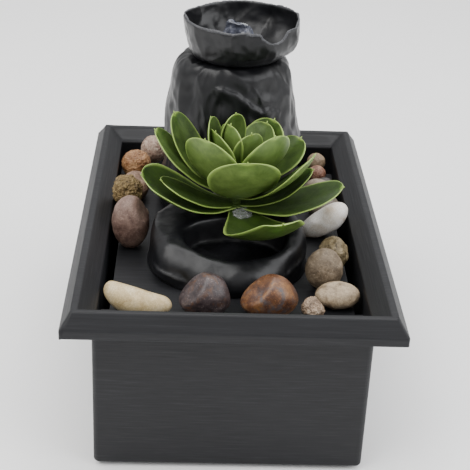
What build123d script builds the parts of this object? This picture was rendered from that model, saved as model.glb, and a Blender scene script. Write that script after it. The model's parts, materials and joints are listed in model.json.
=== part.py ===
"""Tabletop water fountain: rim trough, pebble deck, hollow rock with a pouring bowl,
artificial succulent, loose pebbles and a submersible pump.

Millimetres. X to the right, Y to the back, Z up. The origin is on the table,
under the middle of the rim.
"""
import os
from math import cos, radians, sin

from build123d import *

os.makedirs("parts", exist_ok=True)

# ---------------------------------------------------------------- driving sizes
# trough and rim
RIM_WIDTH = 160.0        # over the lips, along X
RIM_LENGTH = 232.0       # over the lips, along Y
TROUGH_HEIGHT = 92.0     # underside of the box to the top of the rim
WALL = 2.4               # moulded wall of the trough
FLOOR = 2.4
CORNER_RADIUS = 3.0      # upright outer corners of the box
BOTTOM_RADIUS = 2.0      # outer edge round the underside
LIP_RADIUS = 1.0         # upright corners of the lip
LIP_HEIGHT = 4.2
BEVEL_RUN = 5.0          # outer bevel, measured across
BEVEL_DROP = 7.5
RIDGE_FLAT = 2.8         # flat top of the rim
SLOPE_RUN = 8.1          # inner slope, measured across
SLOPE_DROP = 6.5

# rubber feet
FOOT_DIAMETER = 14.0
FOOT_PROUD = 2.0         # how far a foot stands below the box
FOOT_RECESS = 1.0
FOOT_INSET = 14.0        # foot centre to the outside of the box
FOOT_ROUND = 0.6
LOOSE = 0.2              # clearance round a part that is dropped in or glued on

# lead inlet in the back wall
INLET_X = 38.0
INLET_DROP = 11.6        # underside of the deck down to its middle
INLET_HOLE = 12.0
INLET_BORE = 6.0
INLET_FLANGE = 16.0
FLANGE_THICK = 2.0

# pebble deck
DECK_DROP = 18.0         # top of the rim down to the top of the deck
DECK_THICK = 2.4
DECK_GAP = 4.5           # open slit round the deck, for the water to run back
TAB_GAP = 0.5            # spacer tab to the wall
TAB_WIDTH = 8.0
TAB_ROOT = 0.5           # a tab starts this far inside the deck's edge
TAB_PITCH_X = 80.0
TAB_PITCH_Y = 164.0
LEG_DIAMETER = 12.0
LEG_BORE = 8.0
LEG_INSET = 11.5         # leg centre to the edge of the deck
HOSE_HOLE = 16.0
DRAIN_HOLE = 5.0
DRAIN_RING = 20.0        # radius of a ring of drain holes
HOSE_DRAINS = 8          # drain holes round the hose
MOUND_DRAINS = 6         # and under the mound
LUG_WIDTH = 6.0
LUG_THICK = 3.0
LUG_HEIGHT = 5.0
LUG_GAP = 0.5            # locating lug to the inside of the rock

# rock
ROCK_WALL = 3.0
MOUND_X = -2.0
MOUND_Y = -26.0
MOUND_HALF_WIDTH = 42.0
MOUND_HALF_DEPTH = 40.0
MOUND_HEIGHT = 24.0      # above the deck, at the middle of its top
MOUND_TILT = 13.0        # its top leans down to the front, degrees
LEDGE_DROP = 3.0         # top of the mound down to the plant's level seat
FALL_START = 5.5         # from the plant's axis to where the rock falls away to the pool
FALL_RUN = 14.0
FALL_DROP = 7.0
FALL_WIDTH = 34.0
FALL_TURN = -62.0        # under the leaf that hangs over the pool, degrees from +X
COLUMN_Y = 46.5
COLUMN_HALF_WIDTH = 38.5
COLUMN_HALF_DEPTH = 33.5
COLUMN_HEIGHT = 88.5     # above the deck
POOL_X = 1.0
POOL_Y = -35.5
POOL_HALF_WIDTH = 28.0
POOL_HALF_DEPTH = 20.0
POOL_FLOOR = 7.5         # above the deck
POOL_BASE = (0.86, 0.82) # its floor's share of its half width and half depth
POOL_WALL = 2.4          # rock left under its floor
POOL_OVERCUT = 4.0       # how far the cut for it runs out above the mound

# bowl
BOWL_WALL = 2.4
BOWL_HEIGHT = 22.0
BOWL_RIM_HALF_WIDTH = 32.5
BOWL_RIM_HALF_DEPTH = 32.0
BOWL_LEAN = 3.4          # the rim's middle stands this far to the right of the middle
SPOUT_DIP = 6.0          # the pouring lip is this much lower than the rim
SPOUT_RADIUS = 9.0
SPOUT_TURN = -57.0       # towards the front right, degrees from +X
SPIGOT_DIAMETER = 15.0
SPIGOT_LENGTH = 8.0
SPIGOT_GAP = 0.3

# riser tube and the cone that it ends in
HOSE_X = 2.5
HOSE_Y = 49.0
TUBE_OUTER = 9.0
TUBE_INNER = 7.0
TUBE_GAP = 0.3
CONE_BASE = 18.0
CONE_TOP = 12.5
CONE_HEIGHT = 16.0
CONE_MOUTH = 6.0
CONE_LIP = 3.0           # solid ring above the end of the tube

# pump
CUP_HEIGHT = 4.0
CUP_DIAMETER = 10.0
CUP_NECK = 6.0
CUP_SPREAD = 26.0        # between the cups, along X
CUP_INSET = 7.0          # from the front and back of the body
PUMP_WIDTH = 40.0
PUMP_DEPTH = 32.0
PUMP_HEIGHT = 44.0
PUMP_WALL = 2.0
PUMP_EDGE = 3.0
ROTOR_HEIGHT = 17.5      # rotor axis above the underside of the pump
OUTLET_OFFSET = 8.0      # outlet to the right of the rotor axis
VOLUTE_RADIUS = 15.0
VOLUTE_BORE = 12.6
VOLUTE_DEPTH = 12.0
VOLUTE_FACE = 2.0
INTAKE_HOLE = 11.0
BUSH_RING = 1.2          # wall round the front bush
SPOKES = 3
SPOKE_WIDTH = 1.6
SPIGOT_OUTER = 9.0       # thick root of the pump's outlet
NIPPLE_OUTER = 6.9       # end of the outlet, inside the riser tube
NIPPLE_INNER = 4.6
NIPPLE_LENGTH = 10.0
NIPPLE_RISE = 9.0        # top of the volute up to the bottom of the nipple
WELL_OUTER = 17.0
WELL_BORE = 15.0
WELL_DEPTH = 24.0
MAGNET_OUTER = 14.0
MAGNET_INNER = 5.1
MAGNET_LENGTH = 17.0
MAGNET_PLAY = 0.6        # end gap to the rear bush
IMPELLER_DIAMETER = 22.0
IMPELLER_DEPTH = 6.0
IMPELLER_GAP = 1.0       # behind its back plate
COLLAR_BUILD = 1.5       # collar between the magnet and the back plate, over the sleeve
SLEEVE_OUTER = 5.0
SHAFT_DIAMETER = 2.0
RUNNING = 0.05           # radial clearance of a turning fit
BLADES = 6
BLADE_THICK = 1.0
BLADE_START = 1.0        # from the axis
BUSH_OUTER = 5.0
BUSH_LENGTH = 2.5
CORE_THICK = 12.0        # lamination stack, along Y
CORE_LEG = 6.0
CORE_YOKE = 5.0
CORE_GAP = 0.3           # leg to the rotor well
CORE_CLEAR = 1.0         # top of the core to the casing
COIL_BUILD = 2.4         # winding thickness round a core leg
COIL_LENGTH = 9.0
COIL_GAP = 0.4           # below the yoke
COIL_CORNER = 2.2
POTTING_THICK = 5.0
GLAND_OUTER = 8.0
GLAND_BORE = 5.0
GLAND_LENGTH = 9.0
GLAND_DROP = 4.0         # below the top of the core
GRILLE_DEPTH = 20.0
GRILLE_WALL = 1.6
GRILLE_CLEAR = 2.0       # over the volute
SLOTS = 4
SLOT_PITCH = 4.0
SLOT_WIDTH = 1.8
SLOT_SHARE = 0.6         # of the grille's height
REGULATOR_DIAMETER = 22.0
REGULATOR_THICK = 2.0
WINDOW_RING = 6.8        # radius of the arc windows
WINDOW_WIDTH = 3.6
WINDOW_ARC = 50.0
PIVOT_DIAMETER = 3.0
PIVOT_HEAD = 5.0
PIVOT_HEAD_THICK = 1.0
REGULATOR_GAP = 0.1      # behind it
PIVOT_PLAY = 0.3         # end play under the pivot's head, the gap behind included
TAB_PLATE = (5.0, 6.0)   # finger tab at the regulator's top: width and height
TAB_PLATE_CORNER = 1.2
TAB_RIB = (1.8, 6.0)     # raised grip on it
TAB_RIB_CORNER = 0.6
TAB_RIB_PROUD = 3.0

# succulent
PLANT_X = 2.4
PLANT_Y = -9.0
STEM_DIAMETER = 5.0
SOCKET_DEPTH = 9.0
STEM_HEIGHT = 26.0       # above the seat
HUB_DIAMETER = 9.0
HUB_HEIGHT = 2.6
ROOT_RISE = 0.3          # a leaf's root above the bottom of its hub
BUD_HEIGHT = 14.0
BUD_TIP = 2.0
GLUE_DIAMETER = 13.0
GLUE_HEIGHT = 0.9
LEAF_THICK = 1.6
LEAF_LEVEL = 0.15        # a leaf lies level this share of the way along it

# ---------------------------------------------------------------- shared levels
BOX_BOTTOM = FOOT_PROUD
FLOOR_TOP = BOX_BOTTOM + FLOOR
RIM_TOP = BOX_BOTTOM + TROUGH_HEIGHT
LIP_TOP = RIM_TOP - BEVEL_DROP
LIP_BOTTOM = LIP_TOP - LIP_HEIGHT
SLOPE_BOTTOM = RIM_TOP - SLOPE_DROP
DECK_TOP = RIM_TOP - DECK_DROP
DECK_BOTTOM = DECK_TOP - DECK_THICK
INLET_HEIGHT = DECK_BOTTOM - INLET_DROP

RIM_BAND = BEVEL_RUN + RIDGE_FLAT + SLOPE_RUN    # lip to the inside of the wall
INNER_WIDTH = RIM_WIDTH - 2 * RIM_BAND
INNER_LENGTH = RIM_LENGTH - 2 * RIM_BAND
BOX_WIDTH = INNER_WIDTH + 2 * WALL
BOX_LENGTH = INNER_LENGTH + 2 * WALL
DECK_WIDTH = INNER_WIDTH - 2 * DECK_GAP
DECK_LENGTH = INNER_LENGTH - 2 * DECK_GAP

COLUMN_TOP = DECK_TOP + COLUMN_HEIGHT
BOWL_FLOOR = COLUMN_TOP + BOWL_WALL
BOWL_TOP = COLUMN_TOP + BOWL_HEIGHT


def finish(piece, name):
    """Label one finished piece and write it."""
    piece.label = name
    export_step(piece, f"parts/{name}.step")


def outside_the_wall(run_out):
    """A rectangle this far outside the inner wall, as (width, length)."""
    return INNER_WIDTH + 2 * run_out, INNER_LENGTH + 2 * run_out


# ---------------------------------------------------------------- trough
# hollow underside of the rolled rim: everything under its skin, outside the box
HOLLOW_TOP = RIM_TOP - WALL
SKIN_AT_HOLLOW_TOP = BEVEL_RUN * (RIM_TOP - HOLLOW_TOP) / BEVEL_DROP
SLOPE_AT_HOLLOW_TOP = SLOPE_RUN * (HOLLOW_TOP - SLOPE_BOTTOM) / SLOPE_DROP
HOLLOW_EDGE = SLOPE_RUN + RIDGE_FLAT + SKIN_AT_HOLLOW_TOP - WALL

with BuildPart() as rim_hollow:
    with BuildSketch(Plane.XY.offset(LIP_BOTTOM)):
        Rectangle(RIM_WIDTH - 2 * WALL, RIM_LENGTH - 2 * WALL)
    extrude(amount=LIP_HEIGHT)
    with BuildSketch(Plane.XY.offset(LIP_TOP)):
        Rectangle(RIM_WIDTH - 2 * WALL, RIM_LENGTH - 2 * WALL)
    with BuildSketch(Plane.XY.offset(HOLLOW_TOP)):
        Rectangle(*outside_the_wall(HOLLOW_EDGE))
    loft(ruled=True)
    with BuildSketch(Plane.XY.offset(LIP_BOTTOM)):
        Rectangle(BOX_WIDTH, BOX_LENGTH)
    extrude(amount=SLOPE_BOTTOM - LIP_BOTTOM, mode=Mode.SUBTRACT)
    with BuildSketch(Plane.XY.offset(SLOPE_BOTTOM)):
        Rectangle(BOX_WIDTH, BOX_LENGTH)
    with BuildSketch(Plane.XY.offset(HOLLOW_TOP)):
        Rectangle(*outside_the_wall(SLOPE_AT_HOLLOW_TOP + WALL))
    loft(ruled=True, mode=Mode.SUBTRACT)

FOOT_X = BOX_WIDTH / 2 - FOOT_INSET
FOOT_Y = BOX_LENGTH / 2 - FOOT_INSET
FOOT_PLACES = [(x, y) for x in (-FOOT_X, FOOT_X) for y in (-FOOT_Y, FOOT_Y)]

with BuildPart() as trough:
    with BuildSketch(Plane.XY.offset(BOX_BOTTOM)):
        RectangleRounded(BOX_WIDTH, BOX_LENGTH, CORNER_RADIUS)
    extrude(amount=LIP_BOTTOM - BOX_BOTTOM)
    fillet(trough.edges().group_by(Axis.Z)[0], radius=BOTTOM_RADIUS)
    with BuildSketch(Plane.XY.offset(LIP_BOTTOM)):
        RectangleRounded(RIM_WIDTH, RIM_LENGTH, LIP_RADIUS)
    extrude(amount=LIP_HEIGHT)
    with BuildSketch(Plane.XY.offset(LIP_TOP)):
        RectangleRounded(RIM_WIDTH, RIM_LENGTH, LIP_RADIUS)
    with BuildSketch(Plane.XY.offset(RIM_TOP)):
        RectangleRounded(RIM_WIDTH - 2 * BEVEL_RUN, RIM_LENGTH - 2 * BEVEL_RUN, LIP_RADIUS)
    loft(ruled=True)
    # inside: straight walls, then the slope that opens up to the ridge
    with BuildSketch(Plane.XY.offset(FLOOR_TOP)):
        Rectangle(INNER_WIDTH, INNER_LENGTH)
    extrude(amount=SLOPE_BOTTOM - FLOOR_TOP, mode=Mode.SUBTRACT)
    with BuildSketch(Plane.XY.offset(SLOPE_BOTTOM)):
        Rectangle(INNER_WIDTH, INNER_LENGTH)
    with BuildSketch(Plane.XY.offset(RIM_TOP)):
        Rectangle(*outside_the_wall(SLOPE_RUN))
    loft(ruled=True, mode=Mode.SUBTRACT)
    add(rim_hollow.part, mode=Mode.SUBTRACT)
    # recesses for the feet, and the round hole for the lead inlet
    with BuildSketch(Plane.XY.offset(BOX_BOTTOM)):
        with Locations(*FOOT_PLACES):
            Circle(FOOT_DIAMETER / 2 + LOOSE)
    extrude(amount=FOOT_RECESS, mode=Mode.SUBTRACT)
    with BuildSketch(Plane.XZ.offset(-BOX_LENGTH / 2)):
        with Locations((INLET_X, INLET_HEIGHT)):
            Circle(INLET_HOLE / 2)
    extrude(amount=WALL, mode=Mode.SUBTRACT)
finish(trough.part, "trough")

with BuildPart() as foot_pads:
    with BuildSketch():
        with Locations(*FOOT_PLACES):
            Circle(FOOT_DIAMETER / 2)
    extrude(amount=FOOT_PROUD + FOOT_RECESS)
    fillet(foot_pads.edges().group_by(Axis.Z)[0], radius=FOOT_ROUND)
finish(foot_pads.part, "foot_pads")

with BuildPart() as cord_grommet:
    for start, length, diameter in (
        (-FLANGE_THICK, FLANGE_THICK, INLET_FLANGE),
        (0, WALL, INLET_HOLE - 2 * LOOSE),
        (WALL, FLANGE_THICK, INLET_FLANGE),
    ):
        with BuildSketch(Plane.XZ.offset(-(BOX_LENGTH / 2 - start))):
            with Locations((INLET_X, INLET_HEIGHT)):
                Circle(diameter / 2)
        extrude(amount=length)
    with BuildSketch(Plane.XZ.offset(-(BOX_LENGTH / 2 + FLANGE_THICK))):
        with Locations((INLET_X, INLET_HEIGHT)):
            Circle(INLET_BORE / 2)
    extrude(amount=WALL + 2 * FLANGE_THICK, mode=Mode.SUBTRACT)
finish(cord_grommet.part, "cord_grommet")

# ---------------------------------------------------------------- pebble deck
LEG_X = DECK_WIDTH / 2 - LEG_INSET
LEG_Y = DECK_LENGTH / 2 - LEG_INSET
LEG_PLACES = [(x, y) for x in (-LEG_X, LEG_X) for y in (-LEG_Y, 0, LEG_Y)]
MOUND_INNER_WIDTH = MOUND_HALF_WIDTH - ROCK_WALL
MOUND_INNER_DEPTH = MOUND_HALF_DEPTH - ROCK_WALL
LUG_REACH = LUG_GAP + LUG_THICK / 2
LUG_PLACES = [
    (MOUND_X - MOUND_INNER_WIDTH + LUG_REACH, MOUND_Y, LUG_THICK, LUG_WIDTH),
    (MOUND_X + MOUND_INNER_WIDTH - LUG_REACH, MOUND_Y, LUG_THICK, LUG_WIDTH),
    (MOUND_X, MOUND_Y - MOUND_INNER_DEPTH + LUG_REACH, LUG_WIDTH, LUG_THICK),
    (0, COLUMN_Y + COLUMN_HALF_DEPTH - ROCK_WALL - LUG_REACH, LUG_WIDTH, LUG_THICK),
]
TAB_REACH = DECK_GAP - TAB_GAP
TAB_STEP = TAB_REACH / 2 - TAB_ROOT

with BuildPart() as pebble_deck:
    with BuildSketch(Plane.XY.offset(DECK_BOTTOM)):
        RectangleRounded(DECK_WIDTH, DECK_LENGTH, CORNER_RADIUS)
        with Locations(*[(side * (DECK_WIDTH / 2 + TAB_STEP), y)
                         for side in (-1, 1) for y in (-TAB_PITCH_Y / 2, TAB_PITCH_Y / 2)]):
            Rectangle(TAB_REACH + 2 * TAB_ROOT, TAB_WIDTH)
        with Locations(*[(x, side * (DECK_LENGTH / 2 + TAB_STEP))
                         for side in (-1, 1) for x in (-TAB_PITCH_X / 2, TAB_PITCH_X / 2)]):
            Rectangle(TAB_WIDTH, TAB_REACH + 2 * TAB_ROOT)
        with Locations((HOSE_X, HOSE_Y)):
            Circle(HOSE_HOLE / 2, mode=Mode.SUBTRACT)
            with PolarLocations(DRAIN_RING, HOSE_DRAINS):
                Circle(DRAIN_HOLE / 2, mode=Mode.SUBTRACT)
        with Locations((MOUND_X, MOUND_Y)):
            with PolarLocations(DRAIN_RING, MOUND_DRAINS):
                Circle(DRAIN_HOLE / 2, mode=Mode.SUBTRACT)
    extrude(amount=DECK_THICK)
    with BuildSketch(Plane.XY.offset(FLOOR_TOP)):
        with Locations(*LEG_PLACES):
            Circle(LEG_DIAMETER / 2)
            Circle(LEG_BORE / 2, mode=Mode.SUBTRACT)
    extrude(amount=DECK_BOTTOM - FLOOR_TOP)
    for lug_x, lug_y, lug_width, lug_depth in LUG_PLACES:
        with BuildSketch(Plane.XY.offset(DECK_TOP)):
            with Locations((lug_x, lug_y)):
                Rectangle(lug_width, lug_depth)
        extrude(amount=LUG_HEIGHT)
finish(pebble_deck.part, "pebble_deck")


# ---------------------------------------------------------------- rock
def stacked_ellipses(levels):
    """Loft through ellipses: (height, x, y, half width, half depth, lean to the front)."""
    with BuildPart() as stack:
        for height, x, y, half_width, half_depth, lean in levels:
            level = Plane(
                origin=(x, y, height),
                x_dir=(1, 0, 0),
                z_dir=(0, -sin(radians(lean)), cos(radians(lean))),
            )
            with BuildSketch(level):
                Ellipse(half_width, half_depth)
        loft()
    return stack.part


# mound outline: share of its height, y, share of its half width and half depth, of its tilt
MOUND_OUTLINE = [
    (0.00, 0.0, 1.000, 1.00, 0.0),
    (0.55, 1.0, 0.975, 0.94, 0.4),
    (0.86, 2.0, 0.920, 0.86, 0.8),
    (1.00, 3.0, 0.780, 0.72, 1.0),
]
MOUND_LEVELS = [
    (DECK_TOP + share * MOUND_HEIGHT, MOUND_X, MOUND_Y + y,
     width * MOUND_HALF_WIDTH, depth * MOUND_HALF_DEPTH, tilt * MOUND_TILT)
    for share, y, width, depth, tilt in MOUND_OUTLINE
]
# column outline: share of its height, x, share of its half width and half depth
COLUMN_OUTLINE = [
    (0.00, 0.0, 1.000, 1.000),
    (0.30, 0.5, 0.990, 0.985),
    (0.52, 0.3, 0.975, 0.955),
    (0.70, -0.2, 0.940, 0.930),
    (0.84, 0.4, 0.900, 0.890),
    (0.95, 0.1, 0.813, 0.820),
    (1.00, 0.3, 0.630, 0.680),
]


def column_levels(inset):
    """The column's sections, drawn in by the wall where inset isn't zero."""
    return [
        (DECK_TOP + share * (COLUMN_HEIGHT - inset), x, COLUMN_Y,
         width * COLUMN_HALF_WIDTH - inset, depth * COLUMN_HALF_DEPTH - inset, 0)
        for share, x, width, depth in COLUMN_OUTLINE
    ]


mound_skin = stacked_ellipses(MOUND_LEVELS)
column_skin = stacked_ellipses(column_levels(0))
column_hollow = stacked_ellipses(column_levels(ROCK_WALL))
LEDGE_TOP = DECK_TOP + MOUND_HEIGHT - LEDGE_DROP

with BuildPart() as pool:
    with BuildSketch(Plane.XY.offset(DECK_TOP + POOL_FLOOR)):
        with Locations((POOL_X, POOL_Y)):
            Ellipse(POOL_BASE[0] * POOL_HALF_WIDTH, POOL_BASE[1] * POOL_HALF_DEPTH)
    with BuildSketch(Plane.XY.offset(DECK_TOP + MOUND_HEIGHT + POOL_OVERCUT)):
        with Locations((POOL_X, POOL_Y)):
            Ellipse(POOL_HALF_WIDTH, POOL_HALF_DEPTH)
    loft()

with BuildPart() as rock_body:
    add(mound_skin)
    # the mound is levelled at the plant's seat before the column joins it
    with BuildSketch(Plane.XY.offset(LEDGE_TOP)):
        with Locations((MOUND_X, MOUND_Y)):
            Rectangle(3 * MOUND_HALF_WIDTH, 3 * MOUND_HALF_DEPTH)
    extrude(amount=MOUND_HEIGHT, mode=Mode.SUBTRACT)
    add(column_skin)
    # open underside: the column is hollow, the mound only below the pool
    add(column_hollow, mode=Mode.SUBTRACT)
    with BuildSketch(Plane.XY.offset(DECK_TOP)):
        with Locations((MOUND_X, MOUND_Y)):
            Ellipse(MOUND_INNER_WIDTH, MOUND_INNER_DEPTH)
    extrude(amount=POOL_FLOOR - POOL_WALL, mode=Mode.SUBTRACT)
    add(pool.part, mode=Mode.SUBTRACT)
    # fall of the rock from the plant's seat to the pool, under the lowest leaf
    fall_plane = Plane(
        origin=(PLANT_X, PLANT_Y, LEDGE_TOP),
        x_dir=(cos(radians(FALL_TURN)), sin(radians(FALL_TURN)), 0),
        z_dir=(sin(radians(FALL_TURN)), -cos(radians(FALL_TURN)), 0),
    )
    with BuildSketch(fall_plane):
        with BuildLine():
            Polyline(
                (FALL_START, 0),
                (FALL_START + FALL_RUN, 0),
                (FALL_START + FALL_RUN, -FALL_DROP),
                close=True,
            )
        make_face()
    extrude(amount=FALL_WIDTH / 2, both=True, mode=Mode.SUBTRACT)
    # blind socket for the plant
    with BuildSketch(Plane.XY.offset(LEDGE_TOP - SOCKET_DEPTH)):
        with Locations((PLANT_X, PLANT_Y)):
            Circle(STEM_DIAMETER / 2 + LOOSE)
    extrude(amount=SOCKET_DEPTH, mode=Mode.SUBTRACT)
    # hole in the top of the column for the bowl's spigot
    with BuildSketch(Plane.XY.offset(COLUMN_TOP - 4 * ROCK_WALL)):
        with Locations((HOSE_X, HOSE_Y)):
            Circle(SPIGOT_DIAMETER / 2 + SPIGOT_GAP)
    extrude(amount=8 * ROCK_WALL, mode=Mode.SUBTRACT)
finish(rock_body.part, "rock_body")


# ---------------------------------------------------------------- bowl
# bowl outline: share of its height, x, share of the rim's half width
BOWL_OUTLINE = [
    (0.00, 1.2, 0.72),
    (0.15, 2.5, 0.86),
    (0.40, 4.0, 0.96),
    (0.75, 3.8, 0.995),
    (1.00, 3.4, 1.000),
]


def bowl_levels(inset, bottom):
    """The bowl's sections from its base to its rim, drawn in by inset."""
    return [
        (bottom + share * (BOWL_TOP - bottom), x, COLUMN_Y,
         width * BOWL_RIM_HALF_WIDTH - inset, width * BOWL_RIM_HALF_DEPTH - inset, 0)
        for share, x, width in BOWL_OUTLINE
    ]


bowl_skin = stacked_ellipses(bowl_levels(0, COLUMN_TOP))
bowl_hollow = stacked_ellipses(bowl_levels(BOWL_WALL, BOWL_FLOOR))

with BuildPart() as top_bowl:
    add(bowl_skin)
    add(bowl_hollow, mode=Mode.SUBTRACT)
    with BuildSketch(Plane.XY.offset(COLUMN_TOP - SPIGOT_LENGTH)):
        with Locations((HOSE_X, HOSE_Y)):
            Circle(SPIGOT_DIAMETER / 2)
    extrude(amount=SPIGOT_LENGTH)
    with BuildSketch(Plane.XY.offset(COLUMN_TOP - SPIGOT_LENGTH)):
        with Locations((HOSE_X, HOSE_Y)):
            Circle(TUBE_OUTER / 2 + TUBE_GAP)
    extrude(amount=SPIGOT_LENGTH + BOWL_WALL, mode=Mode.SUBTRACT)
    # pouring lip: a round dip cut across the wall
    spout_plane = Plane(
        origin=(BOWL_LEAN, COLUMN_Y, BOWL_TOP + SPOUT_RADIUS - SPOUT_DIP),
        x_dir=(-sin(radians(SPOUT_TURN)), cos(radians(SPOUT_TURN)), 0),
        z_dir=(cos(radians(SPOUT_TURN)), sin(radians(SPOUT_TURN)), 0),
    )
    with BuildSketch(spout_plane):
        Circle(SPOUT_RADIUS)
    extrude(amount=1.5 * BOWL_RIM_HALF_WIDTH, mode=Mode.SUBTRACT)
finish(top_bowl.part, "top_bowl")

TUBE_TOP = BOWL_FLOOR + CONE_HEIGHT - CONE_LIP - TUBE_GAP

with BuildPart() as outlet_nozzle:
    with BuildSketch(Plane.XY.offset(BOWL_FLOOR)):
        with Locations((HOSE_X, HOSE_Y)):
            Circle(CONE_BASE / 2)
    with BuildSketch(Plane.XY.offset(BOWL_FLOOR + CONE_HEIGHT)):
        with Locations((HOSE_X, HOSE_Y)):
            Circle(CONE_TOP / 2)
    loft(ruled=True)
    with BuildSketch(Plane.XY.offset(BOWL_FLOOR)):
        with Locations((HOSE_X, HOSE_Y)):
            Circle(TUBE_OUTER / 2 + TUBE_GAP)
    extrude(amount=CONE_HEIGHT - CONE_LIP, mode=Mode.SUBTRACT)
    with BuildSketch(Plane.XY.offset(BOWL_FLOOR)):
        with Locations((HOSE_X, HOSE_Y)):
            Circle(CONE_MOUTH / 2)
    extrude(amount=CONE_HEIGHT, mode=Mode.SUBTRACT)
finish(outlet_nozzle.part, "outlet_nozzle")

# ---------------------------------------------------------------- pump
PUMP_BOTTOM = FLOOR_TOP + CUP_HEIGHT
ROTOR_Z = PUMP_BOTTOM + ROTOR_HEIGHT
ROTOR_X = HOSE_X - OUTLET_OFFSET
VOLUTE_FRONT = HOSE_Y - VOLUTE_DEPTH / 2
BODY_FRONT = HOSE_Y + VOLUTE_DEPTH / 2
BODY_BACK = BODY_FRONT + PUMP_DEPTH
WELL_END = BODY_FRONT + WELL_DEPTH
BODY_MIDDLE_Z = PUMP_BOTTOM + PUMP_HEIGHT / 2


def facing_front(y):
    """Upright plane at this y: its X is the fountain's X, its Y is up, and it faces the front."""
    return Plane(origin=(ROTOR_X, y, ROTOR_Z), x_dir=(1, 0, 0), z_dir=(0, -1, 0))


def ring(back, front, outer, inner=0.0):
    """A round piece on the rotor axis, from y = back forwards to y = front."""
    with BuildPart() as piece:
        with BuildSketch(facing_front(back)):
            Circle(outer / 2)
            if inner:
                Circle(inner / 2, mode=Mode.SUBTRACT)
        extrude(amount=back - front)
    return piece.part


BODY_CENTRE = (0, BODY_MIDDLE_Z - ROTOR_Z)
CAVITY_WIDTH = PUMP_WIDTH - 2 * PUMP_WALL
CAVITY_HEIGHT = PUMP_HEIGHT - 2 * PUMP_WALL

with BuildPart() as pump_body:
    with BuildSketch(facing_front(BODY_BACK)):
        with Locations(BODY_CENTRE):
            RectangleRounded(PUMP_WIDTH, PUMP_HEIGHT, PUMP_EDGE)
    extrude(amount=PUMP_DEPTH)
    with BuildSketch(facing_front(BODY_BACK)):
        with Locations(BODY_CENTRE):
            RectangleRounded(CAVITY_WIDTH, CAVITY_HEIGHT, PUMP_EDGE - PUMP_WALL)
    extrude(amount=PUMP_DEPTH - PUMP_WALL, mode=Mode.SUBTRACT)
    add(ring(WELL_END + PUMP_WALL / 2, BODY_FRONT, WELL_OUTER))
    add(ring(WELL_END, BODY_FRONT, WELL_BORE), mode=Mode.SUBTRACT)
finish(pump_body.part, "pump_body")

# rotor stack, from the back of the well forwards
BUSH_FRONT_OF_WELL = WELL_END - BUSH_LENGTH
MAGNET_BACK = BUSH_FRONT_OF_WELL - MAGNET_PLAY
MAGNET_FRONT = MAGNET_BACK - MAGNET_LENGTH
IMPELLER_BACK = BODY_FRONT - IMPELLER_GAP
IMPELLER_FRONT = IMPELLER_BACK - IMPELLER_DEPTH
SHAFT_FRONT = VOLUTE_FRONT

shaft_bush_rear = ring(WELL_END, BUSH_FRONT_OF_WELL, BUSH_OUTER, SHAFT_DIAMETER)
finish(shaft_bush_rear, "shaft_bush_rear")
shaft_bush_front = ring(
    VOLUTE_FRONT + VOLUTE_FACE, VOLUTE_FRONT, BUSH_OUTER, SHAFT_DIAMETER)
finish(shaft_bush_front, "shaft_bush_front")
rotor_shaft = ring(WELL_END, SHAFT_FRONT, SHAFT_DIAMETER)
finish(rotor_shaft, "rotor_shaft")
rotor_magnet = ring(MAGNET_BACK, MAGNET_FRONT, MAGNET_OUTER, MAGNET_INNER)
finish(rotor_magnet, "rotor_magnet")

with BuildPart() as impeller:
    add(ring(MAGNET_BACK, MAGNET_FRONT, SLEEVE_OUTER))
    add(ring(MAGNET_FRONT, IMPELLER_BACK, MAGNET_INNER + 2 * COLLAR_BUILD))
    add(ring(IMPELLER_BACK, IMPELLER_BACK - BLADE_THICK, IMPELLER_DIAMETER))
    with BuildSketch(facing_front(IMPELLER_BACK)):
        Circle(BUSH_OUTER / 2)
        with PolarLocations((IMPELLER_DIAMETER / 2 + BLADE_START) / 2, BLADES):
            Rectangle(IMPELLER_DIAMETER / 2 - BLADE_START, BLADE_THICK)
    extrude(amount=IMPELLER_DEPTH)
    add(ring(MAGNET_BACK, IMPELLER_FRONT, SHAFT_DIAMETER + 2 * RUNNING), mode=Mode.SUBTRACT)
finish(impeller.part, "impeller")

# U-shaped laminated core over the rotor well, a winding on each leg
LEG_IN = WELL_OUTER / 2 + CORE_GAP
LEG_MIDDLE = LEG_IN + CORE_LEG / 2
CORE_BACK = (MAGNET_BACK + MAGNET_FRONT) / 2 + CORE_THICK / 2
CORE_TOP = PUMP_BOTTOM + PUMP_HEIGHT - PUMP_WALL - CORE_CLEAR - ROTOR_Z
CORE_FOOT = -MAGNET_OUTER / 2
COIL_TOP = CORE_TOP - CORE_YOKE - COIL_GAP
COIL_MIDDLE = COIL_TOP - COIL_LENGTH / 2

with BuildPart() as stator_core:
    with BuildSketch(facing_front(CORE_BACK)):
        with Locations((0, CORE_TOP - CORE_YOKE / 2)):
            Rectangle(2 * LEG_IN + 2 * CORE_LEG, CORE_YOKE)
        with Locations((-LEG_MIDDLE, (CORE_TOP + CORE_FOOT) / 2),
                       (LEG_MIDDLE, (CORE_TOP + CORE_FOOT) / 2)):
            Rectangle(CORE_LEG, CORE_TOP - CORE_FOOT)
    extrude(amount=CORE_THICK)
finish(stator_core.part, "stator_core")

with BuildPart() as stator_coils:
    coil_plane = Plane.XY.offset(ROTOR_Z + COIL_MIDDLE - COIL_LENGTH / 2)
    with BuildSketch(coil_plane):
        with Locations((ROTOR_X - LEG_MIDDLE, CORE_BACK - CORE_THICK / 2),
                       (ROTOR_X + LEG_MIDDLE, CORE_BACK - CORE_THICK / 2)):
            RectangleRounded(CORE_LEG + 2 * COIL_BUILD, CORE_THICK + 2 * COIL_BUILD,
                             COIL_CORNER)
            Rectangle(CORE_LEG + 2 * LOOSE, CORE_THICK + 2 * LOOSE, mode=Mode.SUBTRACT)
    extrude(amount=COIL_LENGTH)
finish(stator_coils.part, "stator_coils")

GLAND_PLACE = (0, CORE_TOP - GLAND_DROP - GLAND_OUTER / 2)

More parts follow.
